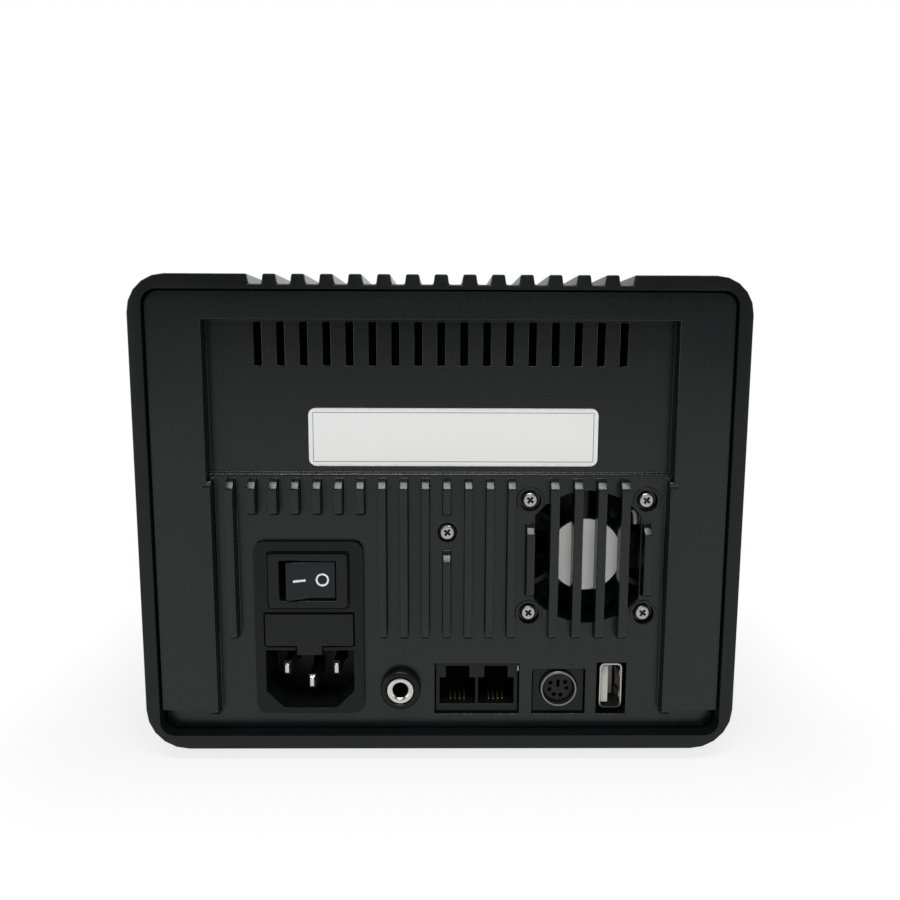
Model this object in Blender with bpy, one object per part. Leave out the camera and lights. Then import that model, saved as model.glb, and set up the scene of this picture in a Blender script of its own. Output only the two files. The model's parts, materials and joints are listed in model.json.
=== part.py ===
"""Bench rework station: a grooved moulded sleeve, a finned rear panel with its sockets, a front with display,
keys, iron socket and air outlet, and the works inside.

All lengths are in metres. The station's own frame has x to the right as seen from behind, y from the rear rim
towards the front and z up from the underside of the casing. One empty carries every piece in that frame, and
stands the station on its feet with the middle of its footprint at the world origin.
"""

import math

import bmesh
import bpy
from mathutils import Vector

GAP = 0.0003  # clearance between separate pieces that seat on or pass through one another
OVER = 0.001  # how far a cutter reaches past the face that it cuts
BITE = 0.0006  # how far a rib, boss or blade is sunk into the wall that carries it

# Casing sleeve
BODY_WIDTH = 0.163
BODY_HEIGHT = 0.130
SLEEVE_DEPTH = 0.200
TOP_CORNER = 0.010
BOTTOM_CORNER = 0.0115
RIM_WALL = 0.0038
SIDE_WALL = 0.0028
ROOF_WALL = 0.0039
FLOOR_WALL = 0.0040
INNER_CORNER = 0.0040
LIP_WIDTH = 0.0025
LIP_DEPTH = 0.0020
RIB_COUNT = 13
RIB_PITCH = 0.0074
RIB_TOP = 0.0034
RIB_FOOT = 0.00405
GROOVE_DEPTH = 0.0026

# Underside
PLATE_THICKNESS = 0.0012
PLATE_MARGIN = 0.0125  # from the casing's side to the base plate
PLATE_INSET = 0.014  # from the sleeve's ends to the base plate
PLATE_CORNER = 0.004
PLATE_LEDGE = 0.0035
PLATE_END_LEDGE = 0.008
PLATE_SCREW_INSET = 0.022
PLATE_SLOT = (0.0030, 0.022)
PLATE_SLOT_PITCH = 0.0085
PLATE_SLOTS = 7
PLATE_SLOT_ROW = 0.045  # from the sleeve's ends to the middle of each row
POST_RADIUS = 0.0028
POST_MARGIN = 0.001
SCREW_RADIUS = 0.0015
SCREW_HEAD_RADIUS = 0.0027
SCREW_HEAD_HEIGHT = 0.0015
SCREW_LENGTH = 0.0055
FOOT_RADIUS = 0.0075
FOOT_HEIGHT = 0.0040
FOOT_SOLE = (0.0060, 0.0008)  # flat radius underneath, and the height of the bevel round it
FOOT_STEM = 0.00225
FOOT_INSET = (0.0215, 0.028)  # from the casing's side and from the sleeve's ends

# Rear panel
STRIP_FACE = 0.0012
FIELD_FACE = 0.0044
FIELD_WALL = 0.0030
STRIP_INNER = 0.0628
STRIP_END = 0.01083
LEDGE = 0.0772
LEDGE_STEP = 0.0003
BAY_MARGIN = 0.0078  # from the mouth's roof down to the top of the bay
BAY_DEPTH = 0.0054
STRIP_WALL = 0.0027
SLOT_COUNT = 17
SLOT_PITCH = 0.00614
SLOT_WIDTH = 0.0020
SLOT_LENGTH = 0.0116
SLOT_DROP = 0.0003  # from the top of the bay to the air slots
FIN_FACE = 0.0008
FIN_COUNT = 15
FIN_PITCH = 0.00586
FIN_THICKNESS = 0.0022
FIN_TOP = 0.0761
FIN_DROP = 0.0011
FIN_END_RADIUS = 0.0020
FIN_LOW = 0.0312
FIN_SHORT_LOW = 0.0660
FIN_LONG_LOW = 0.0092

# Cooling fan
FAN_X = 0.0405
FAN_Z = 0.0539
FAN_SIZE = 0.040
FAN_DEPTH = 0.010
FAN_BORE = 0.01875
FAN_HOLE = 0.016
FAN_HUB = 0.0105
FAN_STRUT = 0.0018
FAN_STRUT_WIDTH = 0.0016
FAN_STRUTS = 3
FAN_BLADES = 7
FAN_CORNER = 0.003
FAN_ROTOR_HUB = 0.0102
FAN_BLADE_RUN = 0.0182
FAN_BLADE = 0.0004  # half the thickness of a blade
FAN_BLADE_SWEEP = (0.42, 0.30)  # half the turn that a blade covers, in radians, at its root and tip
FAN_BLADE_PITCH = (0.0031, 0.0026)  # half the depth that a blade covers, at its root and tip
FAN_WINDOW = 0.0146  # half the width that the round opening is cut down to
FAN_BOSS = 0.0038
FAN_SINK = (0.0030, 0.0020)
FAN_FIN_PITCH = 0.0064
FAN_FIN_THICKNESS = 0.0025
FAN_SIDE_FIN = (0.0432, 0.0636)
FAN_EDGE_FIN = 0.0224
FAN_SCREW_HEAD = (0.00225, 0.0016)

# Panel screw and the brace that it holds
PANEL_SCREW_X = 0.00178
PANEL_SCREW_Z = 0.06089
PANEL_SCREW_SINK = (0.00265, 0.0016)
PANEL_SCREW_FREE = 0.0050  # bare length of the fin above and below the screw
BRACE_WIDTH = 0.012
BRACE_SHEET = 0.0012
BRACE_REACH = 0.0290
BRACE_FLANGE = 0.007
BRACE_FOOT = 0.009

# Mains inlet module
INLET_X = -0.0364
INLET_Z = 0.0339
INLET_FLANGE = (0.0301, 0.0494)
INLET_FLANGE_FACE = 0.0029
INLET_FLANGE_CORNER = 0.0028
INLET_BODY = (0.0270, 0.0478)
INLET_BACK = 0.0340
PLUG_RECESS = (0.0244, 0.0167)
PLUG_RECESS_Z = 0.01915
PLUG_RECESS_DEPTH = 0.0156
PLUG_RECESS_CHAMFER = 0.0050
PIN_SPREAD = 0.0070
PIN_RISE = 0.0020
PIN_SECTION = (0.0020, 0.0040)
PIN_TIP = (0.0010, 0.0024)
PIN_SETBACK = 0.0026
PIN_TAIL = 0.0080
PIN_TAB = 0.0009
DRAWER_FRONT = (0.0244, 0.00925)
DRAWER_Z = 0.03352
DRAWER_PROUD = 0.0002
DRAWER_PLATE = 0.0022
DRAWER_TRAY = (0.0224, 0.0070, 0.0170)
DRAWER_WALL = 0.0008
DRAWER_TAB = (0.0070, 0.0026)
FUSE_RADIUS = 0.0026
FUSE_LENGTH = 0.0200
FUSE_CAP_LENGTH = 0.0050
FUSE_GLASS_RADIUS = 0.0022

# Mains switch
SWITCH_Z = 0.0478
SWITCH_FRAME = (0.0216, 0.0152)
SWITCH_FRAME_CORNER = 0.0010
SWITCH_FRAME_FACE = 0.0018
SWITCH_BODY = (0.0192, 0.0132)
SWITCH_BACK = 0.0280
SWITCH_WELL = (0.0155, 0.0112)
SWITCH_WELL_DEPTH = 0.0096
ROCKER_PIVOT_DEPTH = 0.00506  # behind the frame's face
ROCKER_HALF = 0.00668
ROCKER_END_HEIGHT = 0.0053
ROCKER_DISH = 0.00118
ROCKER_SHOULDER = (0.0069, 0.0030)
ROCKER_KEEL = (0.0045, 0.0030)
ROCKER_TILT = 10.0  # degrees each way from the middle
TRUNNION = (0.0011, 0.0009)

# Earth bonding socket
EARTH_X = -0.0112
EARTH_Z = 0.0163
EARTH_COLLAR = (0.0056, 0.0025)
EARTH_COLLAR_BEVEL = 0.0008
EARTH_SHANK = 0.0043
EARTH_SHANK_LENGTH = 0.013
EARTH_RING = (0.0037, 0.0010)
EARTH_TUBE = 0.0029
EARTH_BORE = 0.0022
EARTH_LENGTH = 0.020
EARTH_END_WALL = 0.002
EARTH_NUT = (0.0068, 0.0025)

# Jacks on the interface board
BOARD_SHEET = 0.0016
BOARD_TOP = 0.0082
BOARD_LOW_X = -0.005
BOARD_HIGH_X = 0.057
BOARD_REACH = 0.0240
TWIN_X = 0.01028
TWIN_SIZE = (0.02324, 0.0142, 0.0160)
TWIN_SETBACK = 0.0012  # from the panel's field to the jack's face
TWIN_PORT = (0.0101, 0.0078, 0.0125)
TWIN_PORT_PITCH = 0.0109
TWIN_PORT_LOW = 0.0107
TWIN_NOTCH = (0.0066, 0.0034)
TWIN_CONTACTS = 4
TWIN_CONTACT_SETBACK = 0.002
TWIN_CONTACT_PITCH = 0.0013
TWIN_WIRE = 0.0005
DIN_X = 0.0334
DIN_SIZE = (0.0144, 0.0126, 0.0126)
DIN_FACE_Z = 0.0157
DIN_RING = (0.00516, 0.0045)
DIN_CORE = 0.0042
DIN_CORE_SETBACK = 0.0012
DIN_GROOVE_DEPTH = 0.0080
DIN_PIN_CIRCLE = 0.0028
DIN_PIN_HOLE = 0.00048
DIN_HOLE_DEPTH = 0.004
DIN_PIN_ANGLES = (22, 68, 112, 158, 218, 322)
DIN_KEY = (0.0030, 0.0014)
DIN_KEY_DROP = 0.0004
USB_X = 0.0480
USB_SHELL = (0.0062, 0.0130, 0.0150)
USB_LIFT = 0.0018
USB_SHEET = 0.0004
USB_PROUD = 0.0004
USB_WINDOW = (0.00825, 0.0151)
USB_WINDOW_X = 0.04828
USB_TONGUE = (0.0019, 0.0108)
USB_TONGUE_SETBACK = 0.0012
USB_BLOCK = 0.0085

# Front bezel
BEZEL_DEPTH = 0.0137
BEZEL_FILLET = 0.0040
BEZEL_WALL = 0.0035
SPIGOT_LENGTH = 0.0080
SPIGOT_WALL = 0.0026
PANE_FIELD_SIDE = 0.0155  # from the casing's side to the sunk control field
PANE_FIELD_ENDS = (0.037, 0.013)  # from the casing's underside and top to the control field
PANE_FIELD_DEPTH = 0.0010
WINDOW_SIDE = 0.012  # from the control field's side to the pane
WINDOW_ENDS = (0.024, 0.004)  # from the control field's lower and upper edges to the pane
WINDOW_THICKNESS = 0.0015
WINDOW_LEDGE = 0.005
WINDOW_CORNER = 0.003
DISPLAY_INSET = (0.007, 0.004)  # from the pane's edges to the display module
DISPLAY_DEPTH = 0.0050
KEY_NAMES = ("key_air", "key_down", "key_set", "key_memory", "key_up", "key_iron")
KEY_GAP = 0.006
KEY_HEIGHT = 0.0070
KEY_Z = 0.0480
KEY_PROUD = 0.0012
KEY_FLANGE = (0.0010, 0.0011)
KEY_CORNER = 0.0015
KEY_BEVEL = 0.0006
KEY_TRAVEL = 0.0008
TACT_SIZE = 0.0060
TACT_PLUNGER = (0.0017, 0.0009)
CONTROL_BOARD_INSET = 0.001  # from the control field's upper and lower edges to the board
CONTROL_BOSS = 0.0032
CONTROL_BOSS_INSET = 0.0050
FITTING_INSET = 0.0375  # from the casing's side to the iron socket and to the air outlet
IRON_Z = 0.0220
IRON_FLANGE = (0.0110, 0.0020)
IRON_FLANGE_BEVEL = 0.0008
IRON_BARREL = (0.0085, 0.0068)
IRON_PROUD = 0.0075
IRON_TAIL = 0.0110
IRON_INSERT_DEPTH = 0.0052
IRON_PINS = 5
IRON_PIN_CIRCLE = 0.0040
IRON_PIN_HOLE = 0.0008
IRON_HOLE_DEPTH = 0.006
IRON_PIN_SPAN = 300.0  # degrees from the first contact round to the last, above the keyway
IRON_NUT = (0.0112, 0.0025)
GLAND_Z = 0.0240
GLAND_FLANGE = (0.0140, 0.0030)
GLAND_NOSE = (0.0118, 0.0102)
GLAND_BORE = 0.0065
GLAND_TAIL_BORE = 0.0057
GLAND_BEVEL = 0.0012
GLAND_PROUD = 0.0120
GLAND_SHANK = 0.0095
GLAND_TAIL = 0.0072
GLAND_FLUTES = 8
GLAND_FLUTE = 0.0018
GLAND_NUT = (0.0132, 0.0040)
GLAND_THREAD_OVER = 0.002  # how far the shank goes on past its nut
DUCT_WALL = 0.0018
DUCT_RINGS = 8
STUB_SHARE = 0.195  # of the room between blower and gland, slipped into each end of the duct
TAIL_SHARE = 0.285  # of that room, taken up by the gland's tail

# Blower
BLOWER_MARGIN = (0.003, 0.002)  # from the transformer's coil and from the power board to the blower
BLOWER_LOW = 0.0120
BLOWER_HEIGHT = 0.0280
BLOWER_WALL = 0.0018
SCROLL_START_SHARE = 0.1963  # of the casing's width
SCROLL_END_SHARE = 0.2700
SCROLL_ANGLE = 50.0
SCROLL_MOUTH = 0.0200
SCROLL_REACH = 0.0400
BLOWER_INLET_SHARE = 0.594  # of the scroll's smallest radius
WHEEL_CLEARANCE = 0.005
WHEEL_BAND = 0.0085
WHEEL_BLADES = 14
WHEEL_HUB = 0.0080
WHEEL_PLATE = 0.0014
WHEEL_BLADE = 0.0012
WHEEL_BLADE_LEAN = 0.30  # radians that a blade sweeps back from root to tip
WHEEL_ROOM = 0.0016  # clearance between the wheel and the casing above and below it
WHEEL_HUB_TIP = (0.0056, 0.004)
WHEEL_HUB_CROWN = 0.001
SHAFT_RADIUS = 0.0015
MOTOR_RADIUS = 0.0150
MOTOR_HEIGHT = 0.0080
MOTOR_BEVEL = 0.0010
MOUNT_SHARE = 0.781  # of the scroll's smallest radius, out to the posts that carry the blower

# Transformer
CORE_MARGIN = 0.0045  # from the floor opening's side to the core
CORE_Y = 0.0985
CORE_SIZE = (0.030, 0.057, 0.0475)
CORE_LEG = 0.0095
COIL_BUILD = 0.0070
COIL_CORNER = 0.0030
STRAP_SHEET = 0.0012
STRAP_WIDTH = 0.024
STRAP_FOOT = 0.011
STRAP_SCREW = 0.0066  # from the core's end to the middle of the screw

# Power board
POWER_LOW = (-0.012, 0.0385)
POWER_DEPTH = 0.037
POWER_MARGIN = 0.0115  # from the casing's side to the power board
POWER_TOP = 0.0131
CAPACITORS = ((-0.002, 0.050, 0.0080, 0.025), (-0.002, 0.067, 0.0065, 0.020), (0.013, 0.067, 0.0050, 0.016))
HEATSINK_LOW = (0.022, 0.050)
HEATSINK_MARGIN = 0.004  # from the power board's side to the heatsink
HEATSINK_DEPTH = 0.018
HEATSINK_HEIGHT = 0.026
HEATSINK_BASE = 0.0035
HEATSINK_FINS = 8
HEATSINK_FIN = 0.0016
TERMINAL_SIZE = (0.0150, 0.0080, 0.0095)
TERMINAL_X = (0.014, 0.032, 0.050)
TERMINAL_WAYS = 3
TERMINAL_HOLE = 0.0032
TERMINAL_HOLE_DEPTH = 0.0048
TERMINAL_HOLE_RISE = 0.0033
TERMINAL_SLOPE = (0.0024, 0.0028)  # how far the sloped roof goes in and down
TERMINAL_MARGIN = 0.001
CAPACITOR_RIM = 0.0007

# Values worked out from the sizes above
HALF_WIDTH = BODY_WIDTH / 2
PANEL_BACK = FIELD_FACE + FIELD_WALL
BEHIND_PANEL = PANEL_BACK + GAP
MOUTH_HALF = HALF_WIDTH - RIM_WALL
MOUTH_TOP = BODY_HEIGHT - ROOF_WALL
BAY_TOP = MOUTH_TOP - BAY_MARGIN
SLOT_HIGH = BAY_TOP - SLOT_DROP
SLOT_LOW = SLOT_HIGH - SLOT_LENGTH
FRONT_LIP = SLEEVE_DEPTH - SPIGOT_LENGTH
BEZEL_BACK = SLEEVE_DEPTH + GAP
FRONT_FACE = BEZEL_BACK + BEZEL_DEPTH
BEZEL_INSIDE = FRONT_FACE - BEZEL_WALL
OVERALL_DEPTH = FRONT_FACE + GAP + GLAND_PROUD
PLATE_LOW = GAP
PLATE_TOP = PLATE_LOW + PLATE_THICKNESS
ON_PLATE = PLATE_TOP + GAP
PLATE_HALF = HALF_WIDTH - PLATE_MARGIN
BOARD_LOW_Y = BEHIND_PANEL + LIP_DEPTH + GAP
BOARD_HIGH_Y = BOARD_LOW_Y + BOARD_REACH
ON_BOARD = BOARD_TOP + GAP
BRACE_X = PANEL_SCREW_X
BRACE_BACK = BEHIND_PANEL + BRACE_REACH
PIVOT_Y = SWITCH_FRAME_FACE + ROCKER_PIVOT_DEPTH
DRAWER_FACE = INLET_FLANGE_FACE - DRAWER_PROUD
DRAWER_BACK = DRAWER_FACE + DRAWER_PLATE + DRAWER_TRAY[2]
FUSE_Y = DRAWER_BACK - DRAWER_WALL - GAP - FUSE_RADIUS
FIELD_LOW = PANE_FIELD_ENDS[0]
FIELD_HIGH = BODY_HEIGHT - PANE_FIELD_ENDS[1]
PANE_FIELD = (BODY_WIDTH - 2 * PANE_FIELD_SIDE, FIELD_HIGH - FIELD_LOW)
PANE_FIELD_Z = (FIELD_LOW + FIELD_HIGH) / 2
WINDOW_SIZE = (PANE_FIELD[0] - 2 * WINDOW_SIDE, PANE_FIELD[1] - WINDOW_ENDS[0] - WINDOW_ENDS[1])
WINDOW_Z = FIELD_HIGH - WINDOW_ENDS[1] - WINDOW_SIZE[1] / 2
DISPLAY_SIZE = (WINDOW_SIZE[0] - 2 * DISPLAY_INSET[0], WINDOW_SIZE[1] - 2 * DISPLAY_INSET[1])
KEY_WIDTH = (WINDOW_SIZE[0] + KEY_GAP) / len(KEY_NAMES) - KEY_GAP
KEY_SIZE = (KEY_WIDTH, KEY_HEIGHT)
CONTROL_BOARD = (PANE_FIELD[0], PANE_FIELD[1] - 2 * CONTROL_BOARD_INSET)
CONTROL_FACE = BEZEL_INSIDE - GAP - DISPLAY_DEPTH - GAP
CONTROL_BACK = CONTROL_FACE - BOARD_SHEET
POWER_HIGH = (HALF_WIDTH - POWER_MARGIN, POWER_LOW[1] + POWER_DEPTH)
CORE_X = PLATE_LEDGE + CORE_MARGIN + CORE_SIZE[0] / 2 - PLATE_HALF
SCROLL_START = SCROLL_START_SHARE * BODY_WIDTH
SCROLL_END = SCROLL_END_SHARE * BODY_WIDTH
SCROLL_GROWTH = (SCROLL_END - SCROLL_START) / (360 - SCROLL_ANGLE)
SCROLL_LEFT = SCROLL_START + SCROLL_GROWTH * (180 - SCROLL_ANGLE)
SCROLL_REAR = SCROLL_START + SCROLL_GROWTH * (270 - SCROLL_ANGLE)
BLOWER_X = CORE_X + CORE_SIZE[0] / 2 + COIL_BUILD + BLOWER_MARGIN[0] + SCROLL_LEFT
BLOWER_Y = POWER_HIGH[1] + BLOWER_MARGIN[1] + SCROLL_REAR
BLOWER_INLET = BLOWER_INLET_SHARE * SCROLL_START
MOUNT_CIRCLE = MOUNT_SHARE * SCROLL_START
WHEEL_RADIUS = SCROLL_START - WHEEL_CLEARANCE
WHEEL_INNER = WHEEL_RADIUS - WHEEL_BAND
WHEEL_LOW = BLOWER_LOW + BLOWER_WALL + WHEEL_ROOM
WHEEL_HIGH = BLOWER_LOW + BLOWER_HEIGHT - BLOWER_WALL - WHEEL_ROOM
OUTLET_X = BLOWER_X + SCROLL_END - SCROLL_MOUTH / 2
OUTLET_Y = BLOWER_Y + SCROLL_REACH
OUTLET_Z = BLOWER_LOW + BLOWER_HEIGHT / 2
IRON_X = FITTING_INSET - HALF_WIDTH
GLAND_X = HALF_WIDTH - FITTING_INSET
GLAND_SHOULDER = BEZEL_INSIDE - GAP - GLAND_NUT[1] - GLAND_THREAD_OVER
DUCT_ROOM = GLAND_SHOULDER - OUTLET_Y
BLOWER_STUB = STUB_SHARE * DUCT_ROOM
GLAND_END = GLAND_SHOULDER - TAIL_SHARE * DUCT_ROOM
HEATSINK_SIZE = (POWER_HIGH[0] - HEATSINK_MARGIN - HEATSINK_LOW[0], HEATSINK_DEPTH, HEATSINK_HEIGHT)
ON_POWER = POWER_TOP + GAP

AXES = {"X": Vector((1, 0, 0)), "Y": Vector((0, 1, 0)), "Z": Vector((0, 0, 1))}
SPOKES = {"X": Vector((0, 1, 0)), "Y": Vector((0, 0, 1)), "Z": Vector((1, 0, 0))}

# Linear colour, roughness and metallic value of each finish
FINISHES = {
    "moulded_black": ((0.021, 0.023, 0.025), 0.55, 0.0),
    "panel_black": ((0.018, 0.020, 0.021), 0.50, 0.0),
    "fitting_black": ((0.012, 0.013, 0.014), 0.40, 0.0),
    "key_grey": ((0.12, 0.125, 0.13), 0.50, 0.0),
    "smoked_pane": ((0.008, 0.009, 0.011), 0.08, 0.0),
    "display_glass": ((0.03, 0.05, 0.08), 0.15, 0.0),
    "rubber": ((0.015, 0.015, 0.015), 0.85, 0.0),
    "zinc_steel": ((0.55, 0.56, 0.57), 0.35, 1.0),
    "nickel": ((0.68, 0.66, 0.62), 0.22, 1.0),
    "board_green": ((0.02, 0.12, 0.05), 0.45, 0.0),
    "lamination": ((0.20, 0.21, 0.22), 0.50, 1.0),
    "winding_tape": ((0.65, 0.48, 0.10), 0.50, 0.0),
    "aluminium": ((0.60, 0.61, 0.62), 0.35, 1.0),
    "blower_grey": ((0.05, 0.05, 0.055), 0.55, 0.0),
    "hose_black": ((0.02, 0.02, 0.02), 0.65, 0.0),
}


def clear_scene():
    """Removes whatever the file holds."""
    for old in list(bpy.data.objects):
        bpy.data.objects.remove(old)


def finish(name):
    """The material of a finish, made once."""
    found = bpy.data.materials.get(name)
    if found:
        return found
    colour, roughness, metallic = FINISHES[name]
    made = bpy.data.materials.new(name)
    made.use_nodes = True
    shader = made.node_tree.nodes["Principled BSDF"]
    shader.inputs["Base Color"].default_value = (*colour, 1.0)
    shader.inputs["Roughness"].default_value = roughness
    shader.inputs["Metallic"].default_value = metallic
    made.diffuse_color = (*colour, 1.0)
    return made


def arc(x, z, radius, start, end, steps):
    """Points of an arc with both its ends, angles in degrees."""
    angles = [math.radians(start + (end - start) * i / steps) for i in range(steps + 1)]
    return [(x + radius * math.cos(a), z + radius * math.sin(a)) for a in angles]


def rounded(low, high, corner, steps=8, top_corner=None):
    """A rectangle with rounded corners, from its low and high corners."""
    top = corner if top_corner is None else top_corner
    points = arc(high[0] - corner, low[1] + corner, corner, -90, 0, steps)
    points += arc(high[0] - top, high[1] - top, top, 0, 90, steps)
    points += arc(low[0] + top, high[1] - top, top, 90, 180, steps)
    return points + arc(low[0] + corner, low[1] + corner, corner, 180, 270, steps)


def rounded_at(x, z, width, height, corner, steps=3):
    """A rounded rectangle about its middle."""
    return rounded((x - width / 2, z - height / 2), (x + width / 2, z + height / 2), corner, steps)


def circle(x, z, radius, steps):
    """A full circle's points."""
    return arc(x, z, radius, 0, 360 - 360 / steps, steps - 1)


def lift(plane, a, b, c):
    """A point from an outline's two values and the distance along its extrusion."""
    return {"XZ": (a, c, b), "YZ": (c, a, b), "XY": (a, b, c)}[plane]


def prism(bm, outline, low, high, plane="XZ"):
    """An outline extruded from low to high, square to its plane."""
    floor = bm.faces.new([bm.verts.new(lift(plane, a, b, low)) for a, b in outline])
    raised = bmesh.ops.extrude_face_region(bm, geom=[floor])["geom"]
    way = Vector(lift(plane, 0, 0, high - low))
    bmesh.ops.translate(bm, verts=[v for v in raised if isinstance(v, bmesh.types.BMVert)], vec=way)


def block(bm, low, high):
    """A box between two corners."""
    prism(bm, [(low[0], low[2]), (high[0], low[2]), (high[0], high[2]), (low[0], high[2])], low[1], high[1])


def block_at(bm, x, z, width, height, low, high):
    """A box about a middle in x and z, from one depth to another."""
    block(bm, (x - width / 2, low, z - height / 2), (x + width / 2, high, z + height / 2))


def loft(bm, loops):
    """A closed skin through loops that have the same number of points."""
    rings = [[bm.verts.new(point) for point in loop] for loop in loops]
    count = len(rings[0])
    for near, far in zip(rings, rings[1:]):
        for i in range(count):
            bm.faces.new((near[i], near[(i + 1) % count], far[(i + 1) % count], far[i]))
    bm.faces.new(rings[0])
    bm.faces.new(rings[-1])


def turned(bm, profile, centre, axis="Y", steps=24, ring=False):
    """A profile of (radius, distance) pairs spun about an axis through a centre."""
    middle = Vector(centre)
    way = AXES[axis]
    verts = [bm.verts.new(middle + SPOKES[axis] * radius + way * along) for radius, along in profile]
    edges = [bm.edges.new(pair) for pair in zip(verts, verts[1:])]
    if ring:
        edges.append(bm.edges.new((verts[-1], verts[0])))
    made = bmesh.ops.spin(
        bm, geom=verts + edges, cent=middle, axis=way, angle=math.tau, steps=steps, use_merge=True
    )
    bmesh.ops.remove_doubles(bm, verts=bm.verts, dist=1e-7)
    return made


def tube(bm, centre, outer, inner, low, high, axis="Y", steps=24):
    """A plain tube between two distances along its axis."""
    turned(bm, [(inner, low), (outer, low), (outer, high), (inner, high)], centre, axis, steps, ring=True)


def rod(bm, centre, radius, low, high, axis="Y", steps=16):
    """A plain round bar between two distances along its axis."""
    turned(bm, [(0, low), (radius, low), (radius, high), (0, high)], centre, axis, steps)


def thing(name, bm, parent, origin):
    """An object made from a mesh in the station's frame, with its own origin at a given point."""
    bmesh.ops.translate(bm, verts=bm.verts, vec=-Vector(origin))
    bmesh.ops.recalc_face_normals(bm, faces=bm.faces)
    mesh = bpy.data.meshes.new(name)
    bm.to_mesh(mesh)
    bm.free()
    made = bpy.data.objects.new(name, mesh)
    bpy.context.scene.collection.objects.link(made)
    made.parent = parent
    made.location = origin
    return made


def piece(name, bm, finish_name, origin=(0, 0, 0), smooth=30):
    """A named solid of the station."""
    made = thing(name, bm, bpy.data.objects["station"], origin)
    made.data.materials.append(finish(finish_name))
    made.data.shade_smooth()
    made.data.set_sharp_from_angle(angle=math.radians(smooth))
    return made


def combine(target, bm, operation, label):
    """Cuts a shape out of a solid, or joins it on, with a hidden helper object."""
    helper = thing(f"{target.name}_{label}", bm, bpy.data.objects["station"], (0, 0, 0))
    helper.hide_render = True
    helper.display_type = "WIRE"
    change = target.modifiers.new(label, "BOOLEAN")
    change.operation = operation
    change.solver = "EXACT"
    change.object = helper


def cut(target, bm, label):
    """Takes a shape out of a solid."""
    combine(target, bm, "DIFFERENCE", label)


def join(target, bm, label):
    """Makes a shape one body with a solid."""
    combine(target, bm, "UNION", label)


def pan_screw(bm, centre, head, height, radius, length, axis="Y", sign=1, steps=10):
    """A pan head screw whose head stands on the far side of its seat and whose shank goes along the axis."""
    dome = [(0, -height), (head * 0.62, -height), (head, -height * 0.45), (head, 0)]
    profile = dome + [(radius, 0), (radius, length - radius), (0, length)]
    turned(bm, [(r, sign * along) for r, along in profile], centre, axis, steps)


def side_pair(value):
    """The same place on the left and on the right."""
    return (-value, value)


# Casing


def sleeve_outline():
    """The casing's outer section, with its row of grooves along the top."""
    floor = arc(HALF_WIDTH - BOTTOM_CORNER, BOTTOM_CORNER, BOTTOM_CORNER, -90, 0, 5)
    shoulder = arc(HALF_WIDTH - TOP_CORNER, BODY_HEIGHT - TOP_CORNER, TOP_CORNER, 0, 90, 5)
    points = floor + shoulder
    mouth = (RIB_PITCH - RIB_TOP) / 2
    root = (RIB_PITCH - RIB_FOOT) / 2
    for i in range(RIB_COUNT + 1):
        x = (RIB_COUNT / 2 - i) * RIB_PITCH
        points += [(x + mouth, BODY_HEIGHT), (x + root, BODY_HEIGHT - GROOVE_DEPTH)]
        points += [(x - root, BODY_HEIGHT - GROOVE_DEPTH), (x - mouth, BODY_HEIGHT)]
    points += [(-x, z) for x, z in reversed(shoulder)]
    return points + [(-x, z) for x, z in reversed(floor)]


def base_screw_places():
    """Where the base plate is screwed to the sleeve."""
    inset = PLATE_INSET + PLATE_END_LEDGE / 2
    return [(x, y) for y in (inset, SLEEVE_DEPTH - inset) for x in side_pair(PLATE_HALF - PLATE_SCREW_INSET)]


def foot_places():
    """The four feet."""
    x = HALF_WIDTH - FOOT_INSET[0]
    return [(i, j) for i in side_pair(x) for j in (FOOT_INSET[1], SLEEVE_DEPTH - FOOT_INSET[1])]


def post_places():
    """The pressed-in posts of the base plate, each with the height of what rests on it."""
    inset = POST_RADIUS + POST_MARGIN
    board, power = BOARD_TOP - BOARD_SHEET, POWER_TOP - BOARD_SHEET
    places = [(x, BOARD_HIGH_Y - inset, board) for x in (BOARD_LOW_X + inset, BOARD_HIGH_X - inset)]
    for x in (POWER_LOW[0] + inset, PLATE_HALF - PLATE_LEDGE - 2 * inset):
        places += [(x, y, power) for y in (POWER_LOW[1] + inset, POWER_HIGH[1] - inset)]
    for i in range(4):
        turn = math.radians(45 + 90 * i)
        x, y = BLOWER_X + MOUNT_CIRCLE * math.cos(turn), BLOWER_Y + MOUNT_CIRCLE * math.sin(turn)
        places.append((x, y, BLOWER_LOW))
    return places


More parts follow.
